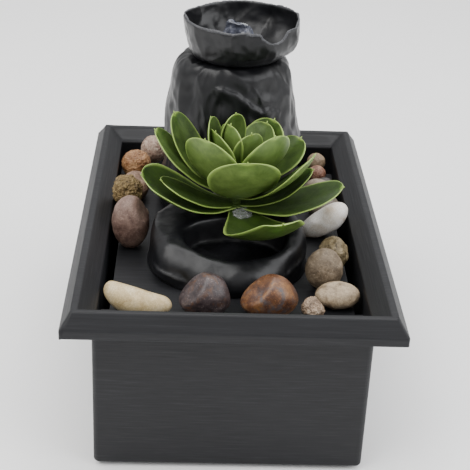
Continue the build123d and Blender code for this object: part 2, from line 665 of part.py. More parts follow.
with BuildPart() as motor_potting:
    with BuildSketch(facing_front(BODY_BACK)):
        with Locations(BODY_CENTRE):
            RectangleRounded(CAVITY_WIDTH - 2 * RUNNING, CAVITY_HEIGHT - 2 * RUNNING,
                             PUMP_EDGE - PUMP_WALL)
        with Locations(GLAND_PLACE):
            Circle(GLAND_OUTER / 2 + RUNNING, mode=Mode.SUBTRACT)
    extrude(amount=POTTING_THICK)
finish(motor_potting.part, "motor_potting")

with BuildPart() as pump_gland:
    with BuildSketch(facing_front(BODY_BACK + GLAND_LENGTH - POTTING_THICK)):
        with Locations(GLAND_PLACE):
            Circle(GLAND_OUTER / 2)
            Circle(GLAND_BORE / 2, mode=Mode.SUBTRACT)
    extrude(amount=GLAND_LENGTH)
finish(pump_gland.part, "pump_gland")

NIPPLE_BOTTOM = ROTOR_Z + VOLUTE_RADIUS + NIPPLE_RISE
NIPPLE_TOP = NIPPLE_BOTTOM + NIPPLE_LENGTH

with BuildPart() as pump_volute:
    add(ring(BODY_FRONT, VOLUTE_FRONT, 2 * VOLUTE_RADIUS))
    with BuildSketch(Plane.XY.offset(ROTOR_Z)):
        with Locations((HOSE_X, HOSE_Y)):
            Circle(SPIGOT_OUTER / 2)
    extrude(amount=NIPPLE_BOTTOM - ROTOR_Z)
    with BuildSketch(Plane.XY.offset(NIPPLE_BOTTOM)):
        with Locations((HOSE_X, HOSE_Y)):
            Circle(NIPPLE_OUTER / 2)
    extrude(amount=NIPPLE_LENGTH)
    add(ring(BODY_FRONT, VOLUTE_FRONT + VOLUTE_FACE, 2 * VOLUTE_BORE), mode=Mode.SUBTRACT)
    with BuildSketch(Plane.XY.offset(ROTOR_Z)):
        with Locations((HOSE_X, HOSE_Y)):
            Circle(NIPPLE_INNER / 2)
    extrude(amount=NIPPLE_TOP - ROTOR_Z, mode=Mode.SUBTRACT)
    # intake hole, with the spokes that carry the front bush
    with BuildSketch(facing_front(VOLUTE_FRONT + VOLUTE_FACE)):
        Circle(INTAKE_HOLE / 2)
        Circle(BUSH_OUTER / 2 + BUSH_RING, mode=Mode.SUBTRACT)
        with PolarLocations(INTAKE_HOLE / 4 + BUSH_OUTER / 4, SPOKES):
            Rectangle(INTAKE_HOLE / 2, SPOKE_WIDTH, mode=Mode.SUBTRACT)
    extrude(amount=VOLUTE_FACE, mode=Mode.SUBTRACT)
    add(ring(VOLUTE_FRONT + VOLUTE_FACE, VOLUTE_FRONT, BUSH_OUTER), mode=Mode.SUBTRACT)
finish(pump_volute.part, "pump_volute")

GRILLE_FRONT = BODY_FRONT - GRILLE_DEPTH
GRILLE_HEIGHT = ROTOR_HEIGHT + VOLUTE_RADIUS + GRILLE_CLEAR + GRILLE_WALL
GRILLE_CENTRE = (0, PUMP_BOTTOM + GRILLE_HEIGHT / 2 - ROTOR_Z)

with BuildPart() as intake_grille:
    with BuildSketch(facing_front(BODY_FRONT)):
        with Locations(GRILLE_CENTRE):
            RectangleRounded(PUMP_WIDTH, GRILLE_HEIGHT, PUMP_EDGE)
    extrude(amount=GRILLE_DEPTH)
    with BuildSketch(facing_front(BODY_FRONT)):
        with Locations(GRILLE_CENTRE):
            RectangleRounded(PUMP_WIDTH - 2 * GRILLE_WALL, GRILLE_HEIGHT - 2 * GRILLE_WALL,
                             PUMP_EDGE - GRILLE_WALL)
    extrude(amount=GRILLE_DEPTH - GRILLE_WALL, mode=Mode.SUBTRACT)
    # slots down both sides and windows under the regulator
    with BuildSketch(Plane.YZ.offset(ROTOR_X - PUMP_WIDTH / 2)):
        with Locations((BODY_FRONT - GRILLE_DEPTH / 2, PUMP_BOTTOM + GRILLE_HEIGHT / 2)):
            with GridLocations(SLOT_PITCH, 0, SLOTS, 1):
                Rectangle(SLOT_WIDTH, SLOT_SHARE * GRILLE_HEIGHT)
    extrude(amount=PUMP_WIDTH, mode=Mode.SUBTRACT)
    with BuildSketch(facing_front(GRILLE_FRONT + GRILLE_WALL)):
        SlotArc(CenterArc((0, 0), WINDOW_RING, -WINDOW_ARC / 2, WINDOW_ARC), WINDOW_WIDTH)
        SlotArc(CenterArc((0, 0), WINDOW_RING, 180 - WINDOW_ARC / 2, WINDOW_ARC), WINDOW_WIDTH)
    extrude(amount=GRILLE_WALL, mode=Mode.SUBTRACT)
    # way out for the outlet
    with BuildSketch(Plane.XY.offset(ROTOR_Z + VOLUTE_RADIUS)):
        with Locations((HOSE_X, HOSE_Y)):
            Circle(SPIGOT_OUTER / 2 + LOOSE)
    extrude(amount=GRILLE_HEIGHT, mode=Mode.SUBTRACT)
    # pivot of the regulator, with its snap head
    pivot_end = GRILLE_FRONT - REGULATOR_THICK - PIVOT_PLAY
    add(ring(GRILLE_FRONT, pivot_end, PIVOT_DIAMETER))
    add(ring(pivot_end, pivot_end - PIVOT_HEAD_THICK, PIVOT_HEAD))
finish(intake_grille.part, "intake_grille")

with BuildPart() as flow_regulator:
    with BuildSketch(facing_front(GRILLE_FRONT - REGULATOR_GAP)):
        Circle(REGULATOR_DIAMETER / 2)
        with Locations((0, REGULATOR_DIAMETER / 2)):
            RectangleRounded(*TAB_PLATE, TAB_PLATE_CORNER)
        Circle(PIVOT_DIAMETER / 2 + RUNNING, mode=Mode.SUBTRACT)
        SlotArc(CenterArc((0, 0), WINDOW_RING, -WINDOW_ARC / 2, WINDOW_ARC), WINDOW_WIDTH,
                mode=Mode.SUBTRACT)
        SlotArc(CenterArc((0, 0), WINDOW_RING, 180 - WINDOW_ARC / 2, WINDOW_ARC), WINDOW_WIDTH,
                mode=Mode.SUBTRACT)
    extrude(amount=REGULATOR_THICK)
    with BuildSketch(facing_front(GRILLE_FRONT - REGULATOR_GAP - REGULATOR_THICK)):
        with Locations((0, REGULATOR_DIAMETER / 2)):
            RectangleRounded(*TAB_RIB, TAB_RIB_CORNER)
    extrude(amount=TAB_RIB_PROUD)
finish(flow_regulator.part, "flow_regulator")

with BuildPart() as suction_cups:
    for cup_x in (-CUP_SPREAD / 2, CUP_SPREAD / 2):
        for cup_y in (BODY_FRONT + CUP_INSET, BODY_BACK - CUP_INSET):
            with BuildSketch(Plane.XY.offset(FLOOR_TOP)):
                with Locations((ROTOR_X + cup_x, cup_y)):
                    Circle(CUP_DIAMETER / 2)
            with BuildSketch(Plane.XY.offset(PUMP_BOTTOM)):
                with Locations((ROTOR_X + cup_x, cup_y)):
                    Circle(CUP_NECK / 2)
            loft(ruled=True)
finish(suction_cups.part, "suction_cups")

with BuildPart() as riser_tube:
    with BuildSketch(Plane.XY.offset(NIPPLE_BOTTOM)):
        with Locations((HOSE_X, HOSE_Y)):
            Circle(TUBE_OUTER / 2)
            Circle(TUBE_INNER / 2, mode=Mode.SUBTRACT)
    extrude(amount=TUBE_TOP - NIPPLE_BOTTOM)
finish(riser_tube.part, "riser_tube")


# ---------------------------------------------------------------- succulent
def leaf(length, width, bend):
    """A spoon-shaped leaf along +X: a petal outline cut from a thin shell of radius bend."""
    with BuildPart() as blade:
        with BuildSketch():
            with BuildLine():
                edge = Spline(
                    (0, 0.12 * width), (0.35 * length, 0.34 * width),
                    (0.68 * length, 0.5 * width), (0.92 * length, 0.3 * width), (length, 0),
                    tangents=[(1, 0.25), (0.05, -1)],
                )
                mirror(edge, about=Plane.XZ)
                Line((0, 0.12 * width), (0, -0.12 * width))
            make_face()
        extrude(amount=bend)
        with Locations((LEAF_LEVEL * length, 0, bend)):
            Sphere(bend, mode=Mode.INTERSECT)
            Sphere(bend - LEAF_THICK, mode=Mode.SUBTRACT)
    return blade.part


# whorls from the bottom up: hub height above the seat, then each leaf's direction,
# lift, length, width and shell radius
WHORLS = {
    "leaves_lower": (2.3, [
        (187, -1, 50, 47, 56),
        (196, 11, 44, 27, 74),
        (-12, 1, 56, 36, 78),
        (-62, -21, 44, 37, 38),
        (-5, 11, 43, 24, 52),
    ]),
    "leaves_middle": (7.0, [
        (177, 26, 55, 30, 90),
        (230, 35, 47, 37, 54),
        (-84, 22, 43, 38, 44),
        (-27, 17, 50, 31, 56),
        (156, 27, 52, 27, 60),
    ]),
    "leaves_upper": (14.0, [
        (162, 44, 36, 34, 43),
        (203, 47, 33, 33, 40),
        (-50, 27, 41, 33, 40),
        (30, 10, 42, 29, 58),
        (34, 34, 37, 32, 42),
    ]),
    "leaves_inner": (21.0, [
        (130, 60, 30, 18, 32),
        (-50, 48, 25, 21, 28),
        (40, 32, 29, 24, 36),
        (213, 56, 27, 22, 30),
    ]),
}

for whorl_name, (hub_height, leaves) in WHORLS.items():
    hub_bottom = LEDGE_TOP + hub_height
    with BuildPart() as whorl:
        with BuildSketch(Plane.XY.offset(hub_bottom)):
            with Locations((PLANT_X, PLANT_Y)):
                Circle(HUB_DIAMETER / 2)
        extrude(amount=HUB_HEIGHT)
        for direction, lift, length, width, bend in leaves:
            blade = leaf(length, width, bend)
            root = (PLANT_X, PLANT_Y, hub_bottom + ROOT_RISE)
            with Locations(Location(root, (0, 0, direction))):
                with Locations(Location((0, 0, 0), (0, -lift, 0))):
                    add(blade)
        with BuildSketch(Plane.XY.offset(hub_bottom - HUB_HEIGHT)):
            with Locations((PLANT_X, PLANT_Y)):
                Circle(STEM_DIAMETER / 2 + RUNNING)
        extrude(amount=12 * HUB_HEIGHT, mode=Mode.SUBTRACT)
    finish(whorl.part, whorl_name)

with BuildPart() as plant_stem:
    with BuildSketch(Plane.XY.offset(LEDGE_TOP - SOCKET_DEPTH)):
        with Locations((PLANT_X, PLANT_Y)):
            Circle(STEM_DIAMETER / 2)
    extrude(amount=SOCKET_DEPTH + STEM_HEIGHT)
finish(plant_stem.part, "plant_stem")

with BuildPart() as glue_bead:
    with BuildSketch(Plane.XY.offset(LEDGE_TOP)):
        with Locations((PLANT_X, PLANT_Y)):
            Circle(GLUE_DIAMETER / 2)
    with BuildSketch(Plane.XY.offset(LEDGE_TOP + GLUE_HEIGHT)):
        with Locations((PLANT_X, PLANT_Y)):
            Circle(HUB_DIAMETER / 2)
    loft(ruled=True)
    with BuildSketch(Plane.XY.offset(LEDGE_TOP)):
        with Locations((PLANT_X, PLANT_Y)):
            Circle(STEM_DIAMETER / 2 + RUNNING)
    extrude(amount=GLUE_HEIGHT, mode=Mode.SUBTRACT)
finish(glue_bead.part, "glue_bead")

with BuildPart() as plant_bud:
    with Locations((PLANT_X, PLANT_Y, LEDGE_TOP + STEM_HEIGHT)):
        Cone(STEM_DIAMETER / 2, BUD_TIP / 2, BUD_HEIGHT,
             align=(Align.CENTER, Align.CENTER, Align.MIN))
finish(plant_bud.part, "plant_bud")

# ---------------------------------------------------------------- pebbles
# centre x, y, height above the deck; half sizes; turn about X, Y, Z in degrees
PEBBLES = {
    "pebble_cream": ((-46.0, -81.0, 8.3), (17.5, 8.0, 8.5), (0, 3, -8)),
    "pebble_plum": ((-14.0, -80.5, 11.3), (13.8, 10.6, 11.5), (0, 0, 0)),
    "pebble_agate": ((16.8, -80.5, 11.3), (15.2, 10.6, 11.5), (0, 0, 0)),
    "pebble_chip": ((38.8, -81.0, 6.3), (7.0, 6.0, 6.5), (0, 0, 0)),
    "pebble_beige": ((51.6, -69.8, 6.6), (11.4, 8.5, 6.8), (0, 0, 0)),
    "pebble_grey_egg": ((46.2, -52.0, 11.3), (9.8, 9.0, 11.5), (0, 0, 0)),
    "pebble_knobbly": ((52.8, -32.0, 9.9), (8.6, 8.6, 10.0), (0, 0, 0)),
    "pebble_white": ((51.0, 4.0, 11.4), (15.0, 9.0, 9.0), (0, -35, 0)),
    "pebble_mauve": ((-53.0, -12.5, 15.2), (10.2, 9.8, 15.4), (0, 0, 0)),
    "pebble_lava": ((-56.4, 18.5, 19.2), (10.0, 9.5, 11.0), (0, 0, 0)),
    "pebble_speckled": ((-54.2, 74.0, 9.4), (9.4, 9.0, 9.5), (0, 0, 0)),
    "pebble_granite": ((-44.5, 89.0, 13.0), (8.4, 8.2, 9.0), (0, 0, 0)),
    "pebble_tan_small": ((54.5, 91.0, 5.9), (6.0, 6.0, 6.0), (0, 0, 0)),
    "pebble_red_small": ((53.5, 75.0, 5.4), (6.0, 5.5, 5.5), (0, 0, 0)),
    "pebble_dark_small": ((57.5, 63.0, 4.2), (5.8, 5.4, 4.3), (0, 0, 0)),
    "pebble_under_a": ((-53.0, 19.0, 3.9), (9.0, 9.5, 4.0), (0, 0, 0)),
    "pebble_under_b": ((-53.5, 46.0, 8.3), (8.5, 13.0, 8.5), (0, 0, 0)),
    "pebble_under_c": ((53.0, 28.0, 7.3), (9.5, 11.0, 7.5), (0, 0, 0)),
    "pebble_under_d": ((52.0, 49.0, 6.8), (9.0, 8.5, 7.0), (0, 0, 0)),
}

for pebble_name, ((x, y, height), half_sizes, turn) in PEBBLES.items():
    with BuildPart() as stone:
        Sphere(1)
        scale(by=half_sizes)
    with BuildPart() as pebble:
        with Locations(Location((x, y, DECK_TOP + height), turn)):
            add(stone.part)
        # worn flat where it rests on the deck
        split(bisect_by=Plane.XY.offset(DECK_TOP), keep=Keep.TOP)
    finish(pebble.part, pebble_name)
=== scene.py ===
"""Tabletop water fountain: the looks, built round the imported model.

Metres, +Z up, origin on the table under the middle of the rim. Lengths in this script are
written in millimetres and turned to metres where a mesh is made.
"""
import json
from math import atan2, cos, exp, pi, radians, sin, sqrt

import bmesh
import bpy
from mathutils import Matrix, Vector, noise
from mathutils.bvhtree import BVHTree


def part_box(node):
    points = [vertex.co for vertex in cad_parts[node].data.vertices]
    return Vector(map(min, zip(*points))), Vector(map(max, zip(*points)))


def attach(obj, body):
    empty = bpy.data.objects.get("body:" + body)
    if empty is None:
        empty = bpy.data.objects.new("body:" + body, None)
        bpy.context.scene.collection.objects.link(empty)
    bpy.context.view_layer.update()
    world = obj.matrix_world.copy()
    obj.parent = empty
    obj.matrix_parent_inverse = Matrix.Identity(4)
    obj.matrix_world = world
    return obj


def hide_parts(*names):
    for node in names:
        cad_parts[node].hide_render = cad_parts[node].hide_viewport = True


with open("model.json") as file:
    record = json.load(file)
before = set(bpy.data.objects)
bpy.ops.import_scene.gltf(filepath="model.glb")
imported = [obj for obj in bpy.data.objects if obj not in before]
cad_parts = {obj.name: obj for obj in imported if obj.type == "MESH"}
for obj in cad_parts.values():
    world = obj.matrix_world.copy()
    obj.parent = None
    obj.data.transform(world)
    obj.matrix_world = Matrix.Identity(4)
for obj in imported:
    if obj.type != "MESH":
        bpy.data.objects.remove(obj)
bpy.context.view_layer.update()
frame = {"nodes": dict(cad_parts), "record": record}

MM = 0.001
NODE_BODY = {
    node: body for body, members in frame["record"]["behaviour"]["bodies"].items() for node in members
}


# ---------------------------------------------------------------- small maths
def smooth(low, high, value):
    """0 below low, 1 above high, and a smooth step between."""
    share = min(max((value - low) / (high - low), 0.0), 1.0)
    return share * share * (3 - 2 * share)


def hump(distance, reach):
    """1 at distance 0, fading smoothly to nothing round reach."""
    return exp(-((distance / reach) ** 2))


def fractal(point, size, octaves=4, seed=0.0):
    """Signed noise whose largest lumps are about size across. The point is in millimetres."""
    return noise.fractal(point / size + Vector((seed, seed * 1.7, seed * 0.6)), 0.9, 2.1, octaves)


def folds(point, size, seed=0.0):
    """0 to 1: rounded ridges with narrow valleys, bent by a slower noise, like draped cloth."""
    slow = point / (size * 2.2)
    bent = point / size + 0.9 * Vector((
        noise.noise(slow + Vector((seed, 3.1, 0))),
        noise.noise(slow + Vector((0, seed, 7.7))),
        noise.noise(slow + Vector((5.3, 0, seed))),
    ))
    return 1 - abs(noise.noise(bent + Vector((seed, seed, seed)))) * 2


def to_segment(point, start, end):
    """Distance from a point to a segment, and the share of the way along it."""
    along = end - start
    share = min(max((point - start).dot(along) / along.length_squared, 0.0), 1.0)
    return (point - start - along * share).length, share


# ---------------------------------------------------------------- mesh helpers
def box_mm(node):
    """The lowest and the highest corner of a CAD node's box, in millimetres."""
    low, high = (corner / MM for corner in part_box(node))
    return low, high


def node_bmesh(node):
    """A welded copy of a CAD node's mesh, in millimetres."""
    mesh = bmesh.new()
    mesh.from_mesh(frame["nodes"][node].data)
    mesh.transform(Matrix.Scale(1 / MM, 4))
    bmesh.ops.remove_doubles(mesh, verts=mesh.verts, dist=1e-4)
    return mesh


def add_piece(name, mesh, node, material):
    """Makes a piece from a bmesh in millimetres. It stands for the CAD node and rides with it."""
    mesh.transform(Matrix.Scale(MM, 4))
    bmesh.ops.recalc_face_normals(mesh, faces=mesh.faces)
    data = bpy.data.meshes.new(name)
    mesh.to_mesh(data)
    mesh.free()
    for polygon in data.polygons:
        polygon.use_smooth = True
    piece = bpy.data.objects.new(name, data)
    bpy.context.scene.collection.objects.link(piece)
    data.materials.append(material)
    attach(piece, NODE_BODY[node])
    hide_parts(node)
    return piece


def apply_modifiers(piece):
    """Turns a piece's modifiers into plain mesh."""
    graph = bpy.context.evaluated_depsgraph_get()
    data = bpy.data.meshes.new_from_object(piece.evaluated_get(graph))
    piece.modifiers.clear()
    piece.data = data


def subdivide(piece, levels):
    """Rounds a piece off by splitting its faces."""
    modifier = piece.modifiers.new("Subdivide", "SUBSURF")
    modifier.levels = modifier.render_levels = levels
    apply_modifiers(piece)


def remeshed(node, voxel):
    """A CAD node rebuilt as an even, closed grid of small faces: a bmesh in millimetres."""
    source = node_bmesh(node)
    data = bpy.data.meshes.new("remesh_source")
    source.to_mesh(data)
    source.free()
    holder = bpy.data.objects.new("remesh_source", data)
    bpy.context.scene.collection.objects.link(holder)
    remesh = holder.modifiers.new("Remesh", "REMESH")
    remesh.mode = "VOXEL"
    remesh.voxel_size = voxel
    graph = bpy.context.evaluated_depsgraph_get()
    result = bmesh.new()
    result.from_mesh(holder.evaluated_get(graph).to_mesh())
    bpy.data.objects.remove(holder)
    return result


def relax(mesh, rounds, keep=None):
    """Evens a mesh out. keep gives how much of each round a point takes, from 0 to 1."""
    share = {v: 1.0 if keep is None else keep(v.co) for v in mesh.verts}
    for _ in range(rounds):
        target = {}
        for vert in mesh.verts:
            near = [edge.other_vert(vert).co for edge in vert.link_edges]
            target[vert] = vert.co.lerp(sum(near, Vector()) / len(near), 0.5 * share[vert])
        for vert, place in target.items():
            vert.co = place


def push(mesh, height):
    """Moves every point along its normal by height(point, normal), in millimetres."""
    mesh.normal_update()
    moves = [(vert, vert.normal * height(vert.co, vert.normal)) for vert in mesh.verts]
    for vert, move in moves:
        vert.co += move


# ---------------------------------------------------------------- materials
class Shader:
    """A procedural material, built node by node round one Principled shader."""

    def __init__(self, name, **values):
        self.material = bpy.data.materials.new(name)
        self.material.use_nodes = True
        self.tree = self.material.node_tree
        self.surface = self.tree.nodes["Principled BSDF"]
        for key, value in values.items():
            self.surface.inputs[key.replace("_", " ")].default_value = value
        self.place = self.add("ShaderNodeTexCoord").outputs["Object"]

    def add(self, kind, inputs=(), **settings):
        """Adds a node; an input is a socket to link or a value to set."""
        node = self.tree.nodes.new(kind)
        for key, value in settings.items():
            setattr(node, key, value)
        for key, value in dict(inputs).items():
            if isinstance(value, bpy.types.NodeSocket):
                self.tree.links.new(value, node.inputs[key])
            else:
                node.inputs[key].default_value = value
        return node

    def stretched(self, scale, turn=(0, 0, 0)):
        """Object coordinates, scaled per axis and turned in degrees."""
        return self.add(
            "ShaderNodeMapping",
            {"Vector": self.place, "Scale": scale, "Rotation": tuple(radians(a) for a in turn)},
        ).outputs["Vector"]

    def noise(self, size, detail=4.0, rough=0.5, bend=0.0, place=None):
        """Noise from 0 to 1, whose lumps are about size millimetres across."""
        return self.add("ShaderNodeTexNoise", {
            "Vector": self.place if place is None else place,
            "Scale": 1 / (size * MM), "Detail": detail, "Roughness": rough, "Distortion": bend,
        }).outputs["Fac"]

    def cells(self, size):
        """Distance to the nearest of scattered points, about size millimetres apart."""
        inputs = {"Vector": self.place, "Scale": 1 / (size * MM)}
        return self.add("ShaderNodeTexVoronoi", inputs).outputs["Distance"]

    def sheets(self, size, axis, bend):
        """Even bands across an axis, each size millimetres thick."""
        inputs = {"Vector": self.place, "Scale": 1 / (size * 6.283 * MM), "Distortion": bend}
        return self.add("ShaderNodeTexWave", inputs, bands_direction=axis).outputs["Fac"]

    def ramp(self, value, stops):
        """A colour for each value, through (position, colour) stops."""
        node = self.add("ShaderNodeValToRGB", {"Fac": value})
        elements = node.color_ramp.elements
        while len(elements) < len(stops):
            elements.new(0.5)
        for element, (position, colour) in zip(elements, stops):
            element.position = position
            element.color = (*colour, 1)
        return node.outputs["Color"]

    def mix(self, share, first, second):
        """Two colours mixed; each is a socket or an (r, g, b)."""
        node = self.add("ShaderNodeMix", data_type="RGBA")
        for index, value in ((0, share), (6, first), (7, second)):
            if isinstance(value, bpy.types.NodeSocket):
                self.tree.links.new(value, node.inputs[index])
            else:
                node.inputs[index].default_value = value if index == 0 else (*value, 1)
        return node.outputs[2]

    def span(self, value, low, high, to_low=0.0, to_high=1.0):
        """Maps low..high to to_low..to_high, held at the ends."""
        return self.add("ShaderNodeMapRange", {
            "Value": value, "From Min": low, "From Max": high, "To Min": to_low, "To Max": to_high,
        }).outputs["Result"]

    def times(self, first, second):
        """Two values multiplied."""
        return self.add("ShaderNodeMath", {0: first, 1: second}, operation="MULTIPLY").outputs[0]

    def facing(self, axis):
        """How far the surface faces along X, Y or Z, either way, from 0 to 1."""
        parts = self.add(
            "ShaderNodeSeparateXYZ", {0: self.add("ShaderNodeNewGeometry").outputs["Normal"]})
        return self.add("ShaderNodeMath", {0: parts.outputs[axis]}, operation="ABSOLUTE").outputs[0]

    def painted(self, attribute):
        """A value that was stored on the mesh's points."""
        return self.add("ShaderNodeAttribute", attribute_name=attribute).outputs["Fac"]

    def colour(self, socket):
        self.tree.links.new(socket, self.surface.inputs["Base Color"])

    def roughness(self, socket):
        self.tree.links.new(socket, self.surface.inputs["Roughness"])

    def bump(self, height, depth, strength=1.0, below=None):
        """Bumps depth millimetres deep, on top of those below."""
        inputs = {"Height": height, "Distance": depth * MM, "Strength": strength}
        if below is not None:
            inputs["Normal"] = below
        return self.add("ShaderNodeBump", inputs).outputs["Normal"]

    def normal(self, socket):
        self.tree.links.new(socket, self.surface.inputs["Normal"])


def charcoal_plastic():
    """Brushed charcoal: fine strokes along the rim, slanting ones on the upright faces."""
    s = Shader("charcoal_plastic", Specular_IOR_Level=0.28)
    along_x = s.noise(1.0, 5, 0.65, place=s.stretched((0.035, 1.6, 1.6)))
    along_y = s.noise(1.0, 5, 0.65, place=s.stretched((1.6, 0.035, 1.6)))
    slanting = s.noise(1.0, 6, 0.7, place=s.stretched((0.05, 0.05, 1.3), (0, 24, 0)))
    upright = s.span(s.facing("Z"), 0.05, 0.3)
    sideways = s.span(s.facing("X"), 0.3, 0.6)
    brushed = s.mix(sideways, along_x, along_y)
    strokes = s.mix(upright, slanting, brushed)
    patches = s.noise(38, 3, 0.55)
    tone = s.ramp(strokes, [(0.28, (0.0050, 0.0052, 0.0062)), (0.55, (0.0095, 0.0098, 0.0115)),
                            (0.8, (0.024, 0.0245, 0.027))])
    s.colour(s.mix(s.span(patches, 0.35, 0.7, 0.0, 0.35), tone, (0.0125, 0.0130, 0.0150)))
    s.roughness(s.span(strokes, 0.25, 0.8, 0.56, 0.42))
    scuffs = s.noise(0.9, 6, 0.8, place=s.stretched((0.2, 0.2, 2.0), (18, 33, 0)))
    s.normal(s.bump(strokes, 0.10, 0.55, s.bump(s.span(scuffs, 0.62, 0.75), 0.03, 0.35)))
    return s.material


def rock_resin(name, lip_highlight=None):
    """Satin black casting with soft flow lines, and where asked a painted grey highlight."""
    s = Shader(name, Specular_IOR_Level=0.36)
    clouds = s.noise(16, 5, 0.6, 0.6)
    flow = s.noise(11, 2, 0.45, 0.5, place=s.stretched((1.0, 1.0, 0.5), (14, 9, 0)))
    tone = s.ramp(clouds, [(0.3, (0.0032, 0.0033, 0.0040)), (0.6, (0.0060, 0.0062, 0.0074)),
                           (0.85, (0.0115, 0.0118, 0.0138))])
    tone = s.mix(s.span(flow, 0.55, 0.75, 0.0, 0.35), tone, (0.015, 0.0153, 0.0178))
    if lip_highlight:
        # painted highlight: lighter grey on the marked folds, where light would catch them
        tone = s.mix(s.painted(lip_highlight), tone, (0.050, 0.051, 0.056))
    s.colour(tone)
    s.roughness(s.span(s.noise(7, 4, 0.6), 0.3, 0.75, 0.30, 0.44))
    grain = s.noise(0.8, 5, 0.6)
    s.normal(s.bump(grain, 0.03, 0.5, s.bump(flow, 1.2, 0.5)))
    return s.material


def plant_green(name, dark, middle, light):
    """Moulded leaves: painted shade makes them dark in the cup and lighter outside, with a pale
    yellow-green edge.
    """
    s = Shader(name, Specular_IOR_Level=0.45, Subsurface_Weight=0.12, Subsurface_Scale=0.003,
               Subsurface_Radius=(0.6, 1.0, 0.25))
    blotches = s.noise(7, 4, 0.6, 0.4)
    # painted shade: the cup side takes the darker ramp, the outer face the lighter one
    body = s.mix(s.painted("outside"), s.ramp(blotches, [(0.3, dark), (0.7, middle)]),
                 s.ramp(blotches, [(0.3, middle), (0.75, light)]))
    speckle = s.span(s.noise(0.7, 3, 0.7), 0.58, 0.72, 0.0, 0.35)
    body = s.mix(speckle, body, light)
    s.colour(s.mix(s.painted("edge"), body, (0.26, 0.37, 0.085)))
    s.roughness(s.span(s.noise(2.4, 4, 0.6), 0.3, 0.7, 0.42, 0.58))
    ribs = s.noise(1.3, 4, 0.6, 0.3)
    s.normal(s.bump(s.noise(0.35, 3, 0.6), 0.03, 0.5, s.bump(ribs, 0.10, 0.5)))
    return s.material


def clear_glue():
    s = Shader("clear_glue", Base_Color=(0.86, 0.88, 0.88, 1), Roughness=0.16, IOR=1.48,
               Transmission_Weight=0.85)
    s.normal(s.bump(s.noise(1.6, 5, 0.7, 1.5), 0.5, 0.8))
    return s.material


def clear_hose():
    s = Shader("clear_hose", Base_Color=(0.80, 0.84, 0.85, 1), Roughness=0.22, IOR=1.45,
               Transmission_Weight=0.7)
    s.normal(s.bump(s.noise(3.0, 3, 0.5, place=s.stretched((1, 1, 0.1))), 0.1, 0.4))
    return s.material


def nozzle_painted_glint():
    s = Shader("nozzle_painted_glint", Roughness=0.24, Coat_Weight=0.35, Coat_Roughness=0.12)
    clouds = s.noise(5, 4, 0.6, 0.8)
    # painted glint: the pale bluish-grey clouds stand in for the shine of a wet surface
    s.colour(s.ramp(clouds, [(0.3, (0.018, 0.020, 0.028)), (0.52, (0.055, 0.060, 0.082)),
                             (0.8, (0.19, 0.20, 0.26))]))
    s.normal(s.bump(s.noise(2.2, 4, 0.6, 0.8), 0.35, 0.6))
    return s.material


def moulded(name, colour, rough, grain=0.06):
    """Moulded plastic or rubber with a fine spark-eroded grain."""
    s = Shader(name)
    lighter = tuple(min(1.0, channel * 1.45 + 0.004) for channel in colour)
    s.colour(s.ramp(s.noise(9, 4, 0.6), [(0.3, colour), (0.75, lighter)]))
    s.roughness(s.span(s.noise(4, 3, 0.6), 0.3, 0.7, rough - 0.05, rough + 0.08))
    s.normal(s.bump(s.noise(0.5, 4, 0.6), grain, 0.6))
    return s.material


def ground_ceramic(name, colour, rough):
    """Sintered or ground ceramic with faint rings of grinding."""
    s = Shader(name)
    speckle = s.span(s.cells(0.6), 0.1, 0.6)
    s.colour(s.ramp(speckle, [(0.2, tuple(c * 0.8 for c in colour)), (0.8, colour)]))
    s.roughness(s.span(s.noise(2, 3), 0.3, 0.7, rough - 0.06, rough + 0.08))
    s.normal(s.bump(s.noise(1, 3, place=s.stretched((0.3, 3, 0.3))), 0.03, 0.5))
    return s.material


def lamination_steel():
    """Thin steel sheets stacked along Y, with a dark line at each joint."""
    s = Shader("lamination_steel", Metallic=1.0)
    sheets = s.sheets(0.5, "Y", 0.3)
    s.colour(s.ramp(sheets, [(0.15, (0.10, 0.10, 0.11)), (0.5, (0.45, 0.45, 0.47))]))
    s.roughness(s.span(s.noise(3, 4), 0.3, 0.7, 0.32, 0.5))
    s.normal(s.bump(sheets, 0.05, 0.6))
    return s.material


def copper_winding():
    """Enamelled wire, laid in rows one above the other."""
    s = Shader("copper_winding", Metallic=1.0)
    turns = s.sheets(0.35, "Z", 0.6)
    s.colour(s.ramp(turns, [(0.1, (0.12, 0.035, 0.012)), (0.6, (0.70, 0.27, 0.11))]))
    s.roughness(s.span(s.noise(3, 3), 0.3, 0.7, 0.25, 0.4))
    s.normal(s.bump(turns, 0.12, 0.8))
    return s.material


